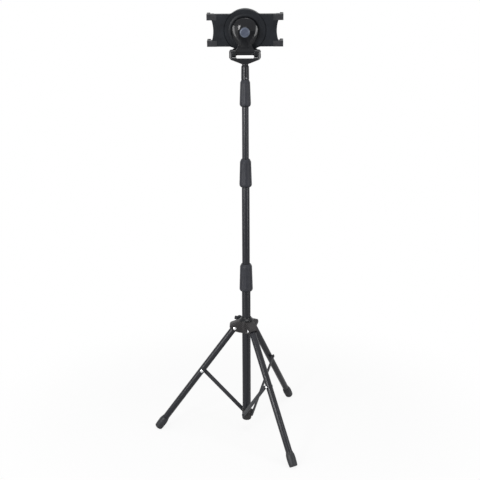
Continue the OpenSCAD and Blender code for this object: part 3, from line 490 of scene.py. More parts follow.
# Flat braces from the collar to the legs, with eased edges; endFlat is what the round ends leave straight
braces = {"width": 12, "thickness": 2, "sideways": -14.6, "rim": 0.45, "endFlat": 0.01}
legAngle = math.radians(stand["legAngle"])
across = stand["legPivotOut"] + stand["braceRivetAlong"] * math.sin(legAngle) - stand["bracePivotOut"]
upwards = stand["legPivotHeight"] - stand["braceRivetAlong"] * math.cos(legAngle) - stand["bracePivotHeight"]
half = braces["width"] / 2
far, end = math.hypot(across, upwards) + half, half - braces["endFlat"]
outline = [(-half, -half, end), (half, -half, end), (half, far, end), (-half, far, end)]
bracePlace = shifted(stand["bracePivotOut"], braces["sideways"], stand["bracePivotHeight"])
bracePlace @= Matrix.Rotation(math.atan2(across, upwards), 4, "Y")
for leg in everyLeg:
    place = legSpace(leg) @ bracePlace
    strap = slab(outline, -braces["thickness"], 0, braces["rim"], segments=8, rimSegments=2)
    addPiece(f"brace{leg + 1}", moved(strap, place), "strap", f"brace_{leg + 1}_body",
             [f"brace_{leg + 1}"])
print("collar and braces made")

# Leg tubes, plugs, feet and brace rivets. Steps of a foot are (inwards, along, rounding): those of the lip
# and the bulge run on from the start, those of the ring back from the end.
legs = {"radius": 9.5, "wall": 1, "top": -9, "end": 388.09, "rim": 0.35, "steps": 84}
legPlugs = {"cap": 1, "depth": 5, "gap": 0.05, "rounding": 0.5}
feet = {"start": 361.09, "end": 402.09, "lip": 10.6, "bulge": 12.9, "sole": 11.4, "bore": 9.55,
        "tubeGap": 0.05, "soleRounding": 2.2,
        "lipSteps": ((0, 0, 0.4), (0, 1.6, 0.4), (0.3, 2.2, 0.3)),
        "bulgeSteps": ((1, 6, 2), (0.1, 12, 4), (0, 19, 4)),
        "ringSteps": ((0.45, 9, 3), (0.75, 5.5, 0.3), (1.05, 5.0, 0.3), (0.8, 4.4, 0.3))}
braceRivets = {"front": -17.25, "back": 9.55, "radius": 2.5, "headRadius": 4.5, "headHeight": 2,
               "shoulderRadius": 4, "shoulderFront": -13.95, "shoulderRounding": 0.3,
               "shoulderPaintedShade": (0, 0, 1)}
for leg in everyLeg:
    number, body = leg + 1, f"leg_{leg + 1}_body"
    radius, top = legs["radius"], legs["top"]
    tube = openTube(legs, top, legs["end"], radius)
    addPiece(f"legTube{number}", moved(tube, alongLeg(leg)), "tube", body, [f"leg_{number}"])

    plugRadius, rounding = radius - legs["wall"] - legPlugs["gap"], legPlugs["rounding"]
    capTop, plugEnd = top - legPlugs["cap"], top + legPlugs["depth"]
    profile = [(0, capTop), (radius, capTop, rounding), (radius, top), (plugRadius, top),
               (plugRadius, plugEnd, rounding), (0, plugEnd)]
    addPiece(f"legPlug{number}", moved(turned(profile, steps=64), alongLeg(leg)), "rubber", body,
             [f"leg_plug_{number}"])

    start, end, bulge, bore = feet["start"], feet["end"], feet["bulge"], feet["bore"]
    tubeEnd = legs["end"] + feet["tubeGap"]
    profile = [(bore, start)]
    profile += [(feet["lip"] - inset, start + along, ease) for inset, along, ease in feet["lipSteps"]]
    profile += [(bulge - inset, start + along, ease) for inset, along, ease in feet["bulgeSteps"]]
    profile += [(bulge - inset, end - along, ease) for inset, along, ease in feet["ringSteps"]]
    profile += [(feet["sole"], end, feet["soleRounding"]), (0, end), (0, tubeEnd), (bore, tubeEnd)]
    bm = moved(turned(profile, steps=84, segments=4), alongLeg(leg))
    cutLoop = bmesh.ops.bisect_plane(bm, geom=bm.verts[:] + bm.edges[:] + bm.faces[:], plane_co=(0, 0, 0),
                                     plane_no=(0, 0, 1), clear_inner=True, dist=1e-4)["geom_cut"]
    bmesh.ops.contextual_create(bm, geom=only(cutLoop, bmesh.types.BMEdge))
    bmesh.ops.recalc_face_normals(bm, faces=bm.faces)
    addPiece(f"rubberFoot{number}", bm, "rubber", body, [f"foot_{number}"])

    shoulderRadius, shoulderFront = braceRivets["shoulderRadius"], braceRivets["shoulderFront"]
    profile = [(0, shoulderFront), (shoulderRadius, shoulderFront, braceRivets["shoulderRounding"]),
               (shoulderRadius, -braceRivets["back"]), (0, -braceRivets["back"])]
    shoulder = moved(turned(profile, steps=40), alongY)
    # On the third leg the rivet shoulder takes the dark strap finish: painted shade on the back leg
    secondFinish(shoulder, lambda centre: braceRivets["shoulderPaintedShade"][leg])
    along = alongLeg(leg) @ shifted(0, 0, stand["braceRivetAlong"])
    rivet = gathered(headedPin(braceRivets, frontFinish=1), shoulder)
    addPiece(f"braceRivet{number}", moved(rivet, along), ("nickel", "strap"), body,
             [f"brace_rivet_{number}"])
print("legs made")

# Sliding hub, its ring and pins, and the wing screw that locks it
hub = {"radius": 19.4, "bore": 13.3, "low": 316, "high": 353, "out": 49, "eave": 341.5, "lip": 332.5,
       "half": 13.7, "cheek": 9.7, "cheekOut": 8.6, "cheekDrop": 4.6, "rounding": 3.2,
       "hoodRoundings": (0, 4, 5, 4, 1.2, 4.5, 3, 0), "roundings": (0, 1.5, 1.2, 0), "steps": 84,
       "pocketIn": 19.4, "pocketHalf": 10.1, "swing": 14.1, "cutPast": 2,
       "boss": 7.5, "bossStart": 15, "bossEnd": 29, "bossRounding": 0.8}
lockPlace = {"turn": 120, "height": 345.2}
out, pivotHeight = stand["legPivotOut"], stand["legPivotHeight"]
bodyRadius, hubLow, hubHigh = hub["radius"], hub["low"], hub["high"]
hoodCorners = ((0, hubLow), (bodyRadius, hubLow), (out, pivotHeight - hub["cheek"]),
               (out + hub["cheekOut"], pivotHeight - hub["cheekDrop"]), (hub["out"], hub["lip"]),
               (hub["out"], hub["eave"]), (bodyRadius, hubHigh), (0, hubHigh))
hoodOutline = rounded(hoodCorners, hub["hoodRoundings"])
casting = lathe(hub, ((0, hubLow), (bodyRadius, hubLow), (bodyRadius, hubHigh), (0, hubHigh)))
for leg in everyLeg:
    hood = slab(hoodOutline, -hub["half"], hub["half"], hub["rounding"], rimSegments=4)
    casting = shaped(casting, moved(hood, legSpace(leg)), "UNION")
lockSpace = spun(lockPlace["turn"], "Z") @ shifted(0, 0, lockPlace["height"])
boss = turned([(0, hub["bossStart"]), (hub["boss"], hub["bossStart"]),
               (hub["boss"], hub["bossEnd"], hub["bossRounding"]), (0, hub["bossEnd"])], steps=48)
casting = shaped(casting, moved(boss, lockSpace @ alongX), "UNION")
below, beyond, half = hubLow - hub["cutPast"], hub["out"] + hub["cutPast"], hub["pocketHalf"]
for leg in everyLeg:
    room = block((hub["pocketIn"], -half, below), (beyond, half, pivotHeight))
    mouth = block((out, -half, below), (beyond, half, hub["lip"]))
    swing = moved(rod(-half, half, hub["swing"], steps=64), legPivot @ alongY)
    room = shaped(shaped(room, mouth, "UNION"), swing, "UNION")
    casting = shaped(casting, moved(room, legSpace(leg)), "DIFFERENCE")
casting = shaped(casting, rod(below, hubHigh + hub["cutPast"], hub["bore"], hub["steps"]), "DIFFERENCE")
addPiece("slidingHub", casting, "hub", "hub_body", ["hub"], edge=0.5)

hubRing = {"radius": 21, "topRadius": 14.4, "edge": 2.2, "height": 10, "neckOut": 0.4, "neckDrop": 2.4,
           "roundings": (0, 0.5, 0.9, 2, 0.6, 0.5), "steps": 84}
ringTop = hubHigh + hubRing["height"]
corners = ((hub["bore"], hubHigh), (hubRing["radius"], hubHigh),
           (hubRing["radius"], hubHigh + hubRing["edge"]),
           (hubRing["topRadius"] + hubRing["neckOut"], ringTop - hubRing["neckDrop"]),
           (hubRing["topRadius"], ringTop), (hub["bore"], ringTop))
addPiece("hubRing", lathe(hubRing, corners), "gloss", "hub_body", ["hub_ring"])
# The third leg's front pin head takes the dark strap finish: painted shade on the back leg's hood
hubPins = {"front": -13.75, "back": 13.75, "radius": 3, "headRadius": 4.5, "headHeight": 2,
           "frontFinish": (0, 0, 1)}
pins = [moved(headedPin(hubPins, frontFinish=hubPins["frontFinish"][leg]), legSpace(leg) @ legPivot)
        for leg in everyLeg]
addPiece("hubPins", gathered(*pins), ("nickel", "strap"), "hub_body", ["hub_pins"])

wingScrew = {"start": 34, "length": 13, "radius": 8.5, "baseIn": 1.5, "endIn": 3, "easeHeight": 2,
             "bore": 3.05, "endWall": 2.95, "roundings": (0, 0.6, 1, 1.5, 1, 0, 0, 0), "steps": 48,
             "wingSpan": 30, "wingThickness": 10, "wingDepth": 12, "wingCut": 5, "wingRest": 14,
             "wingRim": 1.4, "wingRoundings": (1.5, 2.5, 2, 2, 2.5, 1.5)}
screwSpace = lockSpace @ shifted(wingScrew["start"], 0, 0)
long, wide, wellEnd = wingScrew["length"], wingScrew["radius"], wingScrew["length"] - wingScrew["endWall"]
corners = ((wingScrew["bore"], 0), (wide - wingScrew["baseIn"], 0), (wide, wingScrew["easeHeight"]),
           (wide, long - wingScrew["easeHeight"]), (wide - wingScrew["endIn"], long), (0, long), (0, wellEnd),
           (wingScrew["bore"], wellEnd))
knobBody = moved(lathe(wingScrew, corners), alongX)
reach, deep, thick = wingScrew["wingSpan"] / 2, wingScrew["wingDepth"], wingScrew["wingThickness"] / 2
tipReach = reach - wingScrew["wingCut"]
corners = ((-reach, 0), (-reach, -deep / 2), (-tipReach, -deep), (tipReach, -deep), (reach, -deep / 2),
           (reach, 0))
wing = slab(rounded(corners, wingScrew["wingRoundings"]), -thick, thick, wingScrew["wingRim"])
wingPlace = Matrix(((0, 0, 1, long), (1, 0, 0, 0), (0, 1, 0, 0), (0, 0, 0, 1)))
wing = moved(wing, spun(wingScrew["wingRest"], "X") @ wingPlace)
addPiece("wingKnob", moved(shaped(wing, knobBody, "UNION"), screwSpace), "matte", "hub_lock",
         ["lock_knob"])
print("hub made")

# Yoke at the top of the pole, glossy, its outer edges cut to two slanting faces
yoke = {"depth": 9.8, "facets": ((37.5, 0), (40.4, 1.45), (45, 6.67)), "cutPast": 4, "low": 1085,
        "high": 1145, "slotHalf": 24.3, "slotFloor": 1108.8, "slotRounding": 3.4, "filletReach": 1.03,
        "filletLap": 0.4, "filletInset": 0.05}
forked = nodeCopy("yoke")
corner, slotFloor, fillet, lap = (yoke[k] for k in ("slotHalf", "slotFloor", "slotRounding", "filletLap"))
reach, deep = fillet * yoke["filletReach"], yoke["depth"] - yoke["filletInset"]
for side in (1, -1):
    wedge = slab([(corner + lap, slotFloor - lap), (corner + lap, slotFloor + reach),
                  (corner, slotFloor + reach), (corner, slotFloor, fillet), (corner - reach, slotFloor),
                  (corner - reach, slotFloor - lap)], -deep, deep, segments=6)
    forked = shaped(forked, moved(wedge, Matrix.Scale(side, 4, (1, 0, 0))), "UNION")
cutFrom = -yoke["depth"] - yoke["cutPast"]
cutting = [(x, inset - yoke["depth"]) for x, inset in yoke["facets"]]
cutting += [(yoke["facets"][-1][0], cutFrom), (yoke["facets"][0][0], cutFrom)]
for side in (1, -1):
    for face in (1, -1):
        wedge = slab(cutting, yoke["low"], yoke["high"])
        upright = Matrix(((side, 0, 0, 0), (0, 0, face, 0), (0, 1, 0, 0), (0, 0, 0, 1)))
        forked = shaped(forked, moved(wedge, upright), "DIFFERENCE")
addPiece("headYoke", forked, "gloss", "yoke_body", ["yoke"], edge=0.5, segments=3,
         crease=15)

# Teardrop arm: a round head drawn down to the tilt barrel, domed towards the button
swivelArm = {
    "headRadius": 36.4, "waistHalf": 20, "waistHeight": 19, "footHalf": 24, "footHeight": 4, "footSide": 4,
    "arcSteps": 56, "longSide": 8, "sideCuts": 7,
    "back": 13, "footBack": 6, "backFrom": 14, "backTo": 20,
    "front": 2.3, "domeFront": -9, "footFront": -5.6, "domeFrom": 8, "domeTo": 34, "domeRise": 8.84,
    "edgeRings": ((0.997, 1.2), (0.987, 0.35)), "domeShares": (0.97, 0.93, 0.87, 0.8, 0.72, 0.63, 0.53, 0.42),
    "barrelRadius": 6, "knuckleRadius": 12, "knuckleIn": 24.3, "knuckleOut": 32.6,
    "barrelRoundings": (0, 0.5, 1.4, 3.4, 3.4, 1.4, 0.5, 0),
    "flareHeight": 8, "flareStep": 2, "flareHalf": 24, "flareDepth": 6, "flareEnd": 24, "flareIn": 2,
    "flareRoundings": (0, 1.5, 5, 3, 0), "flareRim": 1.6,
    "bossBack": 18.2, "bossLap": 1, "bossRounding": 0.8, "seatRadius": 15, "seatFront": -11, "seatLap": 3,
    "seatSpread": 1.4, "seatRounding": 0.7, "wellRadius": 6.5, "wellDepth": 4,
}
rise, headRadius = stand["swivelRise"], swivelArm["headRadius"]
waistHalf, waistHeight = swivelArm["waistHalf"], swivelArm["waistHeight"]
footHalf, footHeight = swivelArm["footHalf"], swivelArm["footHeight"]
footTop = footHeight + swivelArm["footSide"]
drop = rise - waistHeight
touch = math.acos(headRadius / math.hypot(waistHalf, drop)) - math.atan2(drop, waistHalf)
bm = bmesh.new()
firstTouch = bm.verts.new((headRadius * math.cos(touch), 0, rise + headRadius * math.sin(touch)))
arc = bmesh.ops.spin(bm, geom=[firstTouch], cent=(0, 0, rise), axis=(0, -1, 0), angle=math.pi - 2 * touch,
                     steps=swivelArm["arcSteps"])
lastTouch = only(arc["geom_last"], bmesh.types.BMVert)[0]
lower = [bm.verts.new((x, 0, z)) for x, z in (
    (-waistHalf, waistHeight), (-footHalf, footTop), (-footHalf, footHeight), (footHalf, footHeight),
    (footHalf, footTop), (waistHalf, waistHeight))]
chain = [lastTouch] + lower + [firstTouch]
for a, b in zip(chain, chain[1:]):
    bm.edges.new((a, b))
sides = [e for e in bm.edges if e.calc_length() > swivelArm["longSide"]]
bmesh.ops.subdivide_edges(bm, edges=sides, cuts=swivelArm["sideCuts"])
bmesh.ops.remove_doubles(bm, verts=bm.verts, dist=1e-4)


def easing(value, low, high):
    t = min(1, max(0, (value - low) / (high - low)))
    return t * t * (3 - 2 * t)


# Moves one ring of the arm: share is how far out from the spine, depth how far to the front
def setRing(verts, base, share, depth):
    for v in verts:
        x, z = base[v]
        middle = min(z, rise)
        upper = easing(z, swivelArm["domeFrom"], swivelArm["domeTo"])
        v.co.x, v.co.z = x * share, middle + (z - middle) * share
        if depth is None:
            deepening = easing(z, swivelArm["backFrom"], swivelArm["backTo"])
            v.co.y = swivelArm["footBack"] + (swivelArm["back"] - swivelArm["footBack"]) * deepening
        else:
            shallow = depth * swivelArm["footFront"] / swivelArm["domeFront"] if depth < 0 else depth
            v.co.y = shallow + (depth - shallow) * upper


base = {v: (v.co.x, v.co.z) for v in bm.verts}
setRing(list(bm.verts), base, 1, None)
backLoop = bm.edges[:]
loop = backLoop
seatShare = swivelArm["domeShares"][-1]
domeFall = swivelArm["domeRise"] / (1 - seatShare ** 2)
domeRings = tuple((share, swivelArm["domeFront"] + domeFall * (share ** 2 - seatShare ** 2))
                  for share in swivelArm["domeShares"])
for share, depth in ((1, swivelArm["front"]),) + swivelArm["edgeRings"] + domeRings:
    grown = bmesh.ops.extrude_edge_only(bm, edges=loop)["geom"]
    ringVerts = only(grown, bmesh.types.BMVert)
    ringBase = {}
    for v in ringVerts:
        source = [e.other_vert(v) for e in v.link_edges if e.other_vert(v) in base][0]
        ringBase[v] = base[source]
    setRing(ringVerts, ringBase, share, depth)
    base = ringBase
    loop = [e for e in only(grown, bmesh.types.BMEdge) if all(v in base for v in e.verts)]
bmesh.ops.contextual_create(bm, geom=loop)
bmesh.ops.contextual_create(bm, geom=backLoop)
bmesh.ops.recalc_face_normals(bm, faces=bm.faces)
armShells = [bm]
inside, outside, big = swivelArm["knuckleIn"], swivelArm["knuckleOut"], swivelArm["knuckleRadius"]
barrel = swivelArm["barrelRadius"]
corners = ((0, -outside), (big, -outside), (big, -inside), (barrel, -inside), (barrel, inside), (big, inside),
           (big, outside), (0, outside))
armShells.append(moved(turned(rounded(corners, swivelArm["barrelRoundings"]), segments=5), alongX))
flareTop, flareStep, flareDepth = swivelArm["flareHeight"], swivelArm["flareStep"], swivelArm["flareDepth"]
corners = ((outside, 0), (outside, flareTop - flareStep), (swivelArm["flareHalf"], flareTop + flareStep),
           (waistHalf, waistHeight), (waistHalf - swivelArm["flareIn"], swivelArm["flareEnd"]))
flareSide = rounded(corners, swivelArm["flareRoundings"])
mirrored = [(-x, z, rounding) for x, z, rounding in reversed(flareSide)]
flareOutline = mirrored[-1:] + flareSide + mirrored[:-1]
armShells.append(slab(flareOutline, -flareDepth, flareDepth, swivelArm["flareRim"]))
bossFront, bossBack = swivelArm["back"] - swivelArm["bossLap"], swivelArm["bossBack"]
boss = [(0, bossFront), (headRadius, bossFront), (headRadius, bossBack, swivelArm["bossRounding"]),
        (0, bossBack)]
seatBack, seatFront = swivelArm["domeFront"] + swivelArm["seatLap"], swivelArm["seatFront"]
well, wellBack = swivelArm["wellRadius"], seatFront + swivelArm["wellDepth"]
seat = [(0, seatBack), (swivelArm["seatRadius"] + swivelArm["seatSpread"], seatBack),
        (swivelArm["seatRadius"], seatFront, swivelArm["seatRounding"]), (well, seatFront), (well, wellBack),
        (0, wellBack)]
for profile in (boss, seat):
    armShells.append(moved(turned(profile, steps=84), shifted(0, 0, rise) @ alongY))
addPiece("teardropArm", moved(gathered(*armShells), holderSpace), "gloss", "tilt_arm",
         ["swivel_arm"], crease=24)

# Round grey cap over the swivel bolt: raised rim, dished face
cap = {"radius": 13.4, "front": 14.6, "back": 11.05, "rim": 3.4, "rimDrop": 1.5, "lip": 0.5,
       "dish": 0.7, "dishIn": 0.4, "dishCrown": 0.55, "plugRadius": 6.2, "plug": 9.6, "skin": 1,
       "roundings": (0, 0.4, 0, 0.3, 0.5, 0.3, 0.2, 0.2, 0), "steps": 96}
wide, plugRadius = cap["radius"], cap["plugRadius"]
front, back, plugEnd = cap["front"], cap["back"], cap["plug"]
faceRadius = wide - cap["rim"]
lipRadius = faceRadius - cap["lip"]
corners = ((0, plugEnd), (plugRadius, plugEnd), (plugRadius, back), (wide, back),
           (wide, front - cap["rimDrop"]), (faceRadius, front), (lipRadius, front),
           (lipRadius - cap["dishIn"], front - cap["dish"]),
           (0, front - cap["dish"] * cap["dishCrown"]))
bm = lathe(cap, corners)
# The sunk face inside the rim gets the darker copy of the paint: painted shade in the dish
secondFinish(bm, lambda centre: centre.xy.length < lipRadius and centre.z > back + cap["skin"])
addPiece("swivelCap", moved(bm, swivelSpace @ facing), ("cap", "capFaceShaded"), "tilt_arm",
         ["swivel_cap"])
print("head made")

# Holder: round body and cover, rubber pads
holderCopies = (
    ("holderShell", "rear_shell", "matte", "holder_body", "black_plastic", 0.6),
    ("holderCover", "front_cover", "matte", "holder_body", "black_plastic", 0.6),
    ("leftPads", "left_pads", "rubber", "left_slider", "rubber", 0.4),
    ("rightPads", "right_pads", "rubber", "right_slider", "rubber", 0.4),
)
for name, node, finish, body, slot, edge in holderCopies:
    addPiece(name, nodeCopy(node), finish, body, [node], edge=edge, segments=3)

# Pad that the tablet rests on, grooved across
frontPad = {"grooves": 13, "pitch": 4.8, "width": 1.8, "depth": 0.6, "face": 34.2, "half": 19, "cutPast": 1}
pad = moved(nodeCopy("front_pad"), swivelSpace.inverted())
for n in range(frontPad["grooves"]):
    x = (n - (frontPad["grooves"] - 1) / 2) * frontPad["pitch"]
    groove = block((x - frontPad["width"] / 2, frontPad["face"] - frontPad["depth"], -frontPad["half"]),
                   (x + frontPad["width"] / 2, frontPad["face"] + frontPad["cutPast"], frontPad["half"]))
    pad = shaped(pad, groove, "DIFFERENCE")
addPiece("holderPad", moved(pad, swivelSpace), "rubber", "holder_body", ["front_pad"], edge=0.25)

# Sliding arms: eased waist, a small blend where they meet the round body, softer pads on the hooks
arms = {"back": 16.5, "front": 28.3, "half": 43.5, "hug": 57.85, "blend": 13, "blendShare": 0.97,
        "blendLap": 2, "blendIn": 0.15, "blendInset": 0.1, "waistEase": 3.5,
        "waistFrom": 80, "waistHalf": 27, "level": 0.02, "upright": 0.3, "padLeast": 0.3,
        "arms": (("leftArm", "left_arm", "left_slider", -1),
                 ("rightArm", "right_arm", "right_slider", 1))}
hug, high, blend, back = (arms[k] for k in ("hug", "half", "blend", "back"))
blendOut = math.sqrt((hug + blend) ** 2 - (high + blend) ** 2)
touchX, touchZ = (c * hug / (hug + blend) for c in (blendOut, high + blend))
cornerX = (hug ** 2 - high * touchZ) / touchX
underZ = high - arms["blendLap"]
sliverOutline = [(touchX, touchZ), (cornerX, high, (blendOut - cornerX) * arms["blendShare"]),
                 (blendOut, high), (blendOut, underZ),
                 (math.sqrt(hug ** 2 - underZ ** 2) + arms["blendIn"], underZ)]
sliverBack, sliverFront = back + arms["blendInset"], arms["front"] - arms["blendInset"]


# Whether a corner of the arm lies on the rim of its waist, at the back
def onWaist(v):
    level = abs(v.co.y - back) < arms["level"]
    return level and abs(v.co.x) > arms["waistFrom"] and abs(v.co.z) < arms["waistHalf"]


for name, node, body, side in arms["arms"]:
    arm = moved(nodeCopy(node), swivelSpace.inverted())
    waist = [e for e in arm.edges if all(onWaist(v) for v in e.verts)
             and abs(e.verts[0].co.z - e.verts[1].co.z) > arms["upright"]]
    bevelEdges(arm, waist, arms["waistEase"], segments=4)
    secondFinish(arm, lambda centre: centre.y < back - arms["padLeast"])
    for way in (1, -1):
        sliver = slab(sliverOutline, sliverBack, sliverFront, segments=6)
        arm = shaped(arm, moved(sliver, Matrix.Diagonal((side, 1, way, 1))), "UNION")
    addPiece(name, moved(arm, swivelSpace), ("matte", "rubber"), body, [node], edge=0.9,
             segments=3)
print("holder made")


# Pan head with a cross recess, on the XY plane facing up
def crossHead(radius, height):
    edge, edgeRounding = height * 0.45, 0.35
    domeOut, domeUp, domeRounding = radius * 0.6, height * 0.92, 0.8
    slotReach, slotHalf, slotFloor = radius * 0.6, 0.45, height * 0.35
    head = turned([(0, 0), (radius, 0), (radius, edge, edgeRounding), (domeOut, domeUp, domeRounding),
                   (0, height)], steps=40)
    for turn in (0, 90):
        arm = block((-slotReach, -slotHalf, slotFloor), (slotReach, slotHalf, height + 1))
        head = shaped(head, moved(arm, spun(turn, "Z")), "DIFFERENCE")
    return head


# Six-sided prism on the XY plane with turned corners, or the socket that takes one
def hexPrism(flats, low, high, eased=0):
    bm = bmesh.new()
    acrossCorners = flats / math.sqrt(3)
    bmesh.ops.create_cone(bm, cap_ends=True, segments=6, radius1=acrossCorners, radius2=acrossCorners,
                          depth=high - low)
    bmesh.ops.translate(bm, vec=(0, 0, (low + high) / 2), verts=bm.verts)
    if eased:
        flat, wide = flats / 2 + 0.1, flats * 0.6
        cone = turned([(0, low), (flat, low), (wide, low + eased), (wide, high - eased), (flat, high),
                       (0, high)], steps=48)
        bm = shaped(bm, cone, "INTERSECT")
    return bm


# Screws that hold the cover
coverScrews = {"across": 30, "upright": 33.2, "shank": 1.2, "shankLow": 23.2, "seat": 30.45,
               "headRadius": 2.8, "headHeight": 2, "roundings": (0, 0.3, 0, 0), "steps": 24}
shankRadius, shankLow, shankTop = (coverScrews[k] for k in ("shank", "shankLow", "seat"))
screws = []
for x in (-1, 1):
    for z in (-1, 1):
        spot = shifted(x * coverScrews["across"], 0, z * coverScrews["upright"])
        head = moved(crossHead(coverScrews["headRadius"], coverScrews["headHeight"]),
                     shifted(0, 0, shankTop))
        shank = lathe(coverScrews, ((0, shankLow), (shankRadius, shankLow), (shankRadius, shankTop),
                                    (0, shankTop)))
        screws.append(moved(gathered(head, shank), swivelSpace @ spot @ alongY))
addPiece("coverScrews", gathered(*screws), "nickel", "holder_body", ["cover_screws"])

# Tilt bolt with its socket head, its nut, and the set screw in the neck
tiltBolt = {"end": -42.2, "radius": 3, "seat": 38.05, "headRadius": 5.4, "headEnd": 41.65, "socket": 5,
            "socketDepth": 2.2, "roundings": (0, 0.6, 0, 0.2, 0.8, 0), "steps": 48, "cutPast": 1,
            "nutFlats": 10, "nutLow": -41.65, "nutHigh": -38.05, "nutEase": 0.7, "nutGap": 0.05}
hinge = shifted(0, 0, stand["hingeHeight"]) @ alongX
boltEnd, boltRadius, seat, headEnd = (tiltBolt[k] for k in ("end", "radius", "seat", "headEnd"))
corners = ((0, boltEnd), (boltRadius, boltEnd), (boltRadius, seat), (tiltBolt["headRadius"], seat),
           (tiltBolt["headRadius"], headEnd), (0, headEnd))
bolt = lathe(tiltBolt, corners)
socket = hexPrism(tiltBolt["socket"], headEnd - tiltBolt["socketDepth"], headEnd + tiltBolt["cutPast"])
addPiece("tiltBolt", moved(shaped(bolt, socket, "DIFFERENCE"), hinge), "nickel", "yoke_body",
         ["tilt_bolt"])
nut = hexPrism(tiltBolt["nutFlats"], tiltBolt["nutLow"], tiltBolt["nutHigh"], tiltBolt["nutEase"])
threaded = rod(tiltBolt["nutLow"] - tiltBolt["cutPast"], tiltBolt["nutHigh"] + tiltBolt["cutPast"],
               boltRadius + tiltBolt["nutGap"], tiltBolt["steps"])
addPiece("tiltNut", moved(shaped(nut, threaded, "DIFFERENCE"), hinge), "nickel", "yoke_body",
         ["tilt_nut"])
setScrew = {"height": 1055.6, "turn": 19, "out": 11.55, "in": 8.3, "radius": 2, "socket": 2,
            "socketDepth": 1.4, "roundings": (0, 0.3, 0.35, 0), "steps": 40, "cutPast": 1}
corners = ((0, setScrew["in"]), (setScrew["radius"], setScrew["in"]), (setScrew["radius"], setScrew["out"]),
           (0, setScrew["out"]))
grub = lathe(setScrew, corners)
socket = hexPrism(setScrew["socket"], setScrew["out"] - setScrew["socketDepth"],
                  setScrew["out"] + setScrew["cutPast"])
inNeck = spun(setScrew["turn"], "Z") @ shifted(0, 0, setScrew["height"])
addPiece("setScrew", moved(shaped(grub, socket, "DIFFERENCE"), inNeck @ facing), "dullNickel", "yoke_body",
         ["set_screw"])
print("screws made")

# Small hardware that keeps its CAD shape
carried = {"nickel": ("lock_nut", "lock_screw", "swivel_bolt", "swivel_nut", "left_spring", "right_spring"),
           "nylon": ("collet_1", "collet_2", "collet_3", "guide_plug_2", "guide_plug_3", "guide_plug_4"),
           "blackNylon": ("tilt_washers", "swivel_washer")}
for finish, names in carried.items():
    for node in names:
        nodes[node].data.materials.clear()
        nodes[node].data.materials.append(finishes[finish])

# Camera as the photograph was taken, from the fit to the pole and the legs
view = {"place": (52.7, -2492.1, 1280.2), "yaw": -1.603, "down": 15.345, "roll": -0.38,
        "focalPixels": 900.17, "framePixels": 480, "sensor": 36, "clipEnd": 60}
yaw, down, roll = (math.radians(view[k]) for k in ("yaw", "down", "roll"))
forward = Vector((math.sin(yaw) * math.cos(down), math.cos(yaw) * math.cos(down), -math.sin(down)))
right = Vector((math.cos(yaw), -math.sin(yaw), 0))
up = right.cross(forward)
rightRolled = right * math.cos(roll) + up * math.sin(roll)
upRolled = up * math.cos(roll) - right * math.sin(roll)
lens = bpy.data.cameras.new("photoCamera")
lens.sensor_width = view["sensor"]
lens.lens = view["sensor"] * view["focalPixels"] / view["framePixels"]
lens.clip_end = view["clipEnd"]
camera = newObject("photoCamera", lens)
turn = Matrix((rightRolled, upRolled, -forward)).transposed()
camera.matrix_world = Matrix.Translation(Vector(view["place"]) * mm) @ turn.to_4x4()
scene.camera = camera

# Pale floor that keeps a soft shadow near the object and goes over into the white background
floor = {"size": 9, "shade": "#f4f4f4", "whiteNear": 0.88, "nearEnds": 0.4, "whiteStarts": 1.0}
bm = bmesh.new()
bmesh.ops.create_grid(bm, x_segments=2, y_segments=2, size=floor["size"] / 2)
mesh = bpy.data.meshes.new("studioFloor")
bm.to_mesh(mesh)
bm.free()
studioFloor = newObject("studioFloor", mesh)
paper = bpy.data.materials.new("paleFloor")
paper.use_nodes = True
tree = paper.node_tree
tree.nodes.clear()
seen = addNode(tree, "LightPath")
place = addNode(tree, "TexCoord")
away = addNode(tree, "VectorMath", {"operation": "LENGTH"}, {0: place.outputs["Object"]})
white = addNode(tree, "MapRange",
                {"From Min": floor["nearEnds"], "From Max": floor["whiteStarts"],
                 "To Min": floor["whiteNear"], "To Max": 1.0, "interpolation_type": "SMOOTHSTEP"},
                {"Value": away.outputs["Value"]})
share = addNode(tree, "Math", {"operation": "MULTIPLY"},
                {0: seen.outputs["Is Camera Ray"], 1: white.outputs["Result"]})
matt = addNode(tree, "BsdfDiffuse", {"Color": linear(floor["shade"])})
bright = addNode(tree, "Emission", {"Strength": 1.0})
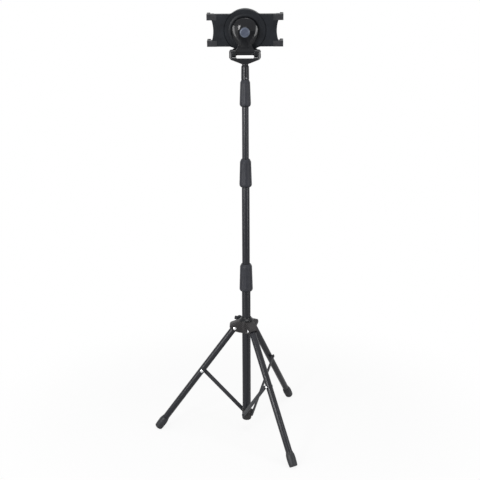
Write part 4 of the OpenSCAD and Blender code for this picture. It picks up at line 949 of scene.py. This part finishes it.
mixed = addNode(tree, "MixShader", None,
                {0: share.outputs[0], 1: matt.outputs[0], 2: bright.outputs[0]})
addNode(tree, "OutputMaterial", None, {"Surface": mixed.outputs[0]})
mesh.materials.append(paper)

# Even white surroundings: full white where they are seen or reflected, softer as light
surround = {"light": 0.3}
world = bpy.data.worlds.new("studioWhite")
world.use_nodes = True
tree = world.node_tree
tree.nodes.clear()
seen = addNode(tree, "LightPath")
either = addNode(tree, "Math", {"operation": "MAXIMUM"},
                 {0: seen.outputs["Is Camera Ray"], 1: seen.outputs["Is Glossy Ray"]})
anyRay = addNode(tree, "Math", {"operation": "MAXIMUM"},
                 {0: either.outputs[0], 1: seen.outputs["Is Transmission Ray"]})
strength = addNode(tree, "MapRange", {"To Min": surround["light"], "To Max": 1.0},
                   {"Value": anyRay.outputs[0]})
sky = addNode(tree, "Background", {"Color": (1, 1, 1, 1)}, {"Strength": strength.outputs["Result"]})
addNode(tree, "OutputWorld", None, {"Surface": sky.outputs[0]})
scene.world = world

# A broad soft box on the left, a narrow strip on each side, a key light high on the left and one overhead
softBoxes = (
    ("softBoxLeft", (-1.77, -1.65, 0.8), (0, 0, 0.8), (1.2, 1.5), 6),
    ("stripLeft", (-1.86, -1.35, 0.8), (0, 0, 0.8), (0.28, 1.5), 10),
    ("stripRight", (1.86, -1.35, 0.8), (0, 0, 0.8), (0.28, 1.5), 12),
    ("softBoxKey", (-1.13, -2.17, 1.3), (0, 0, 1.18), (0.4, 0.9), 25),
    ("softBoxTop", (0.2, -0.3, 3.0), (0, 0, 0.6), (1.8, 1.8), 34),
)
for name, place, aim, size, power in softBoxes:
    lamp = bpy.data.lights.new(name, "AREA")
    lamp.shape, lamp.size, lamp.size_y, lamp.energy = "RECTANGLE", size[0], size[1], power
    lampObject = newObject(name, lamp)
    lampObject.location = place
    lampObject.rotation_euler = (Vector(aim) - Vector(place)).to_track_quat("-Z", "Y").to_euler()
scene.view_settings.view_transform = "Standard"
print("camera and light set")

bpy.context.view_layer.update()
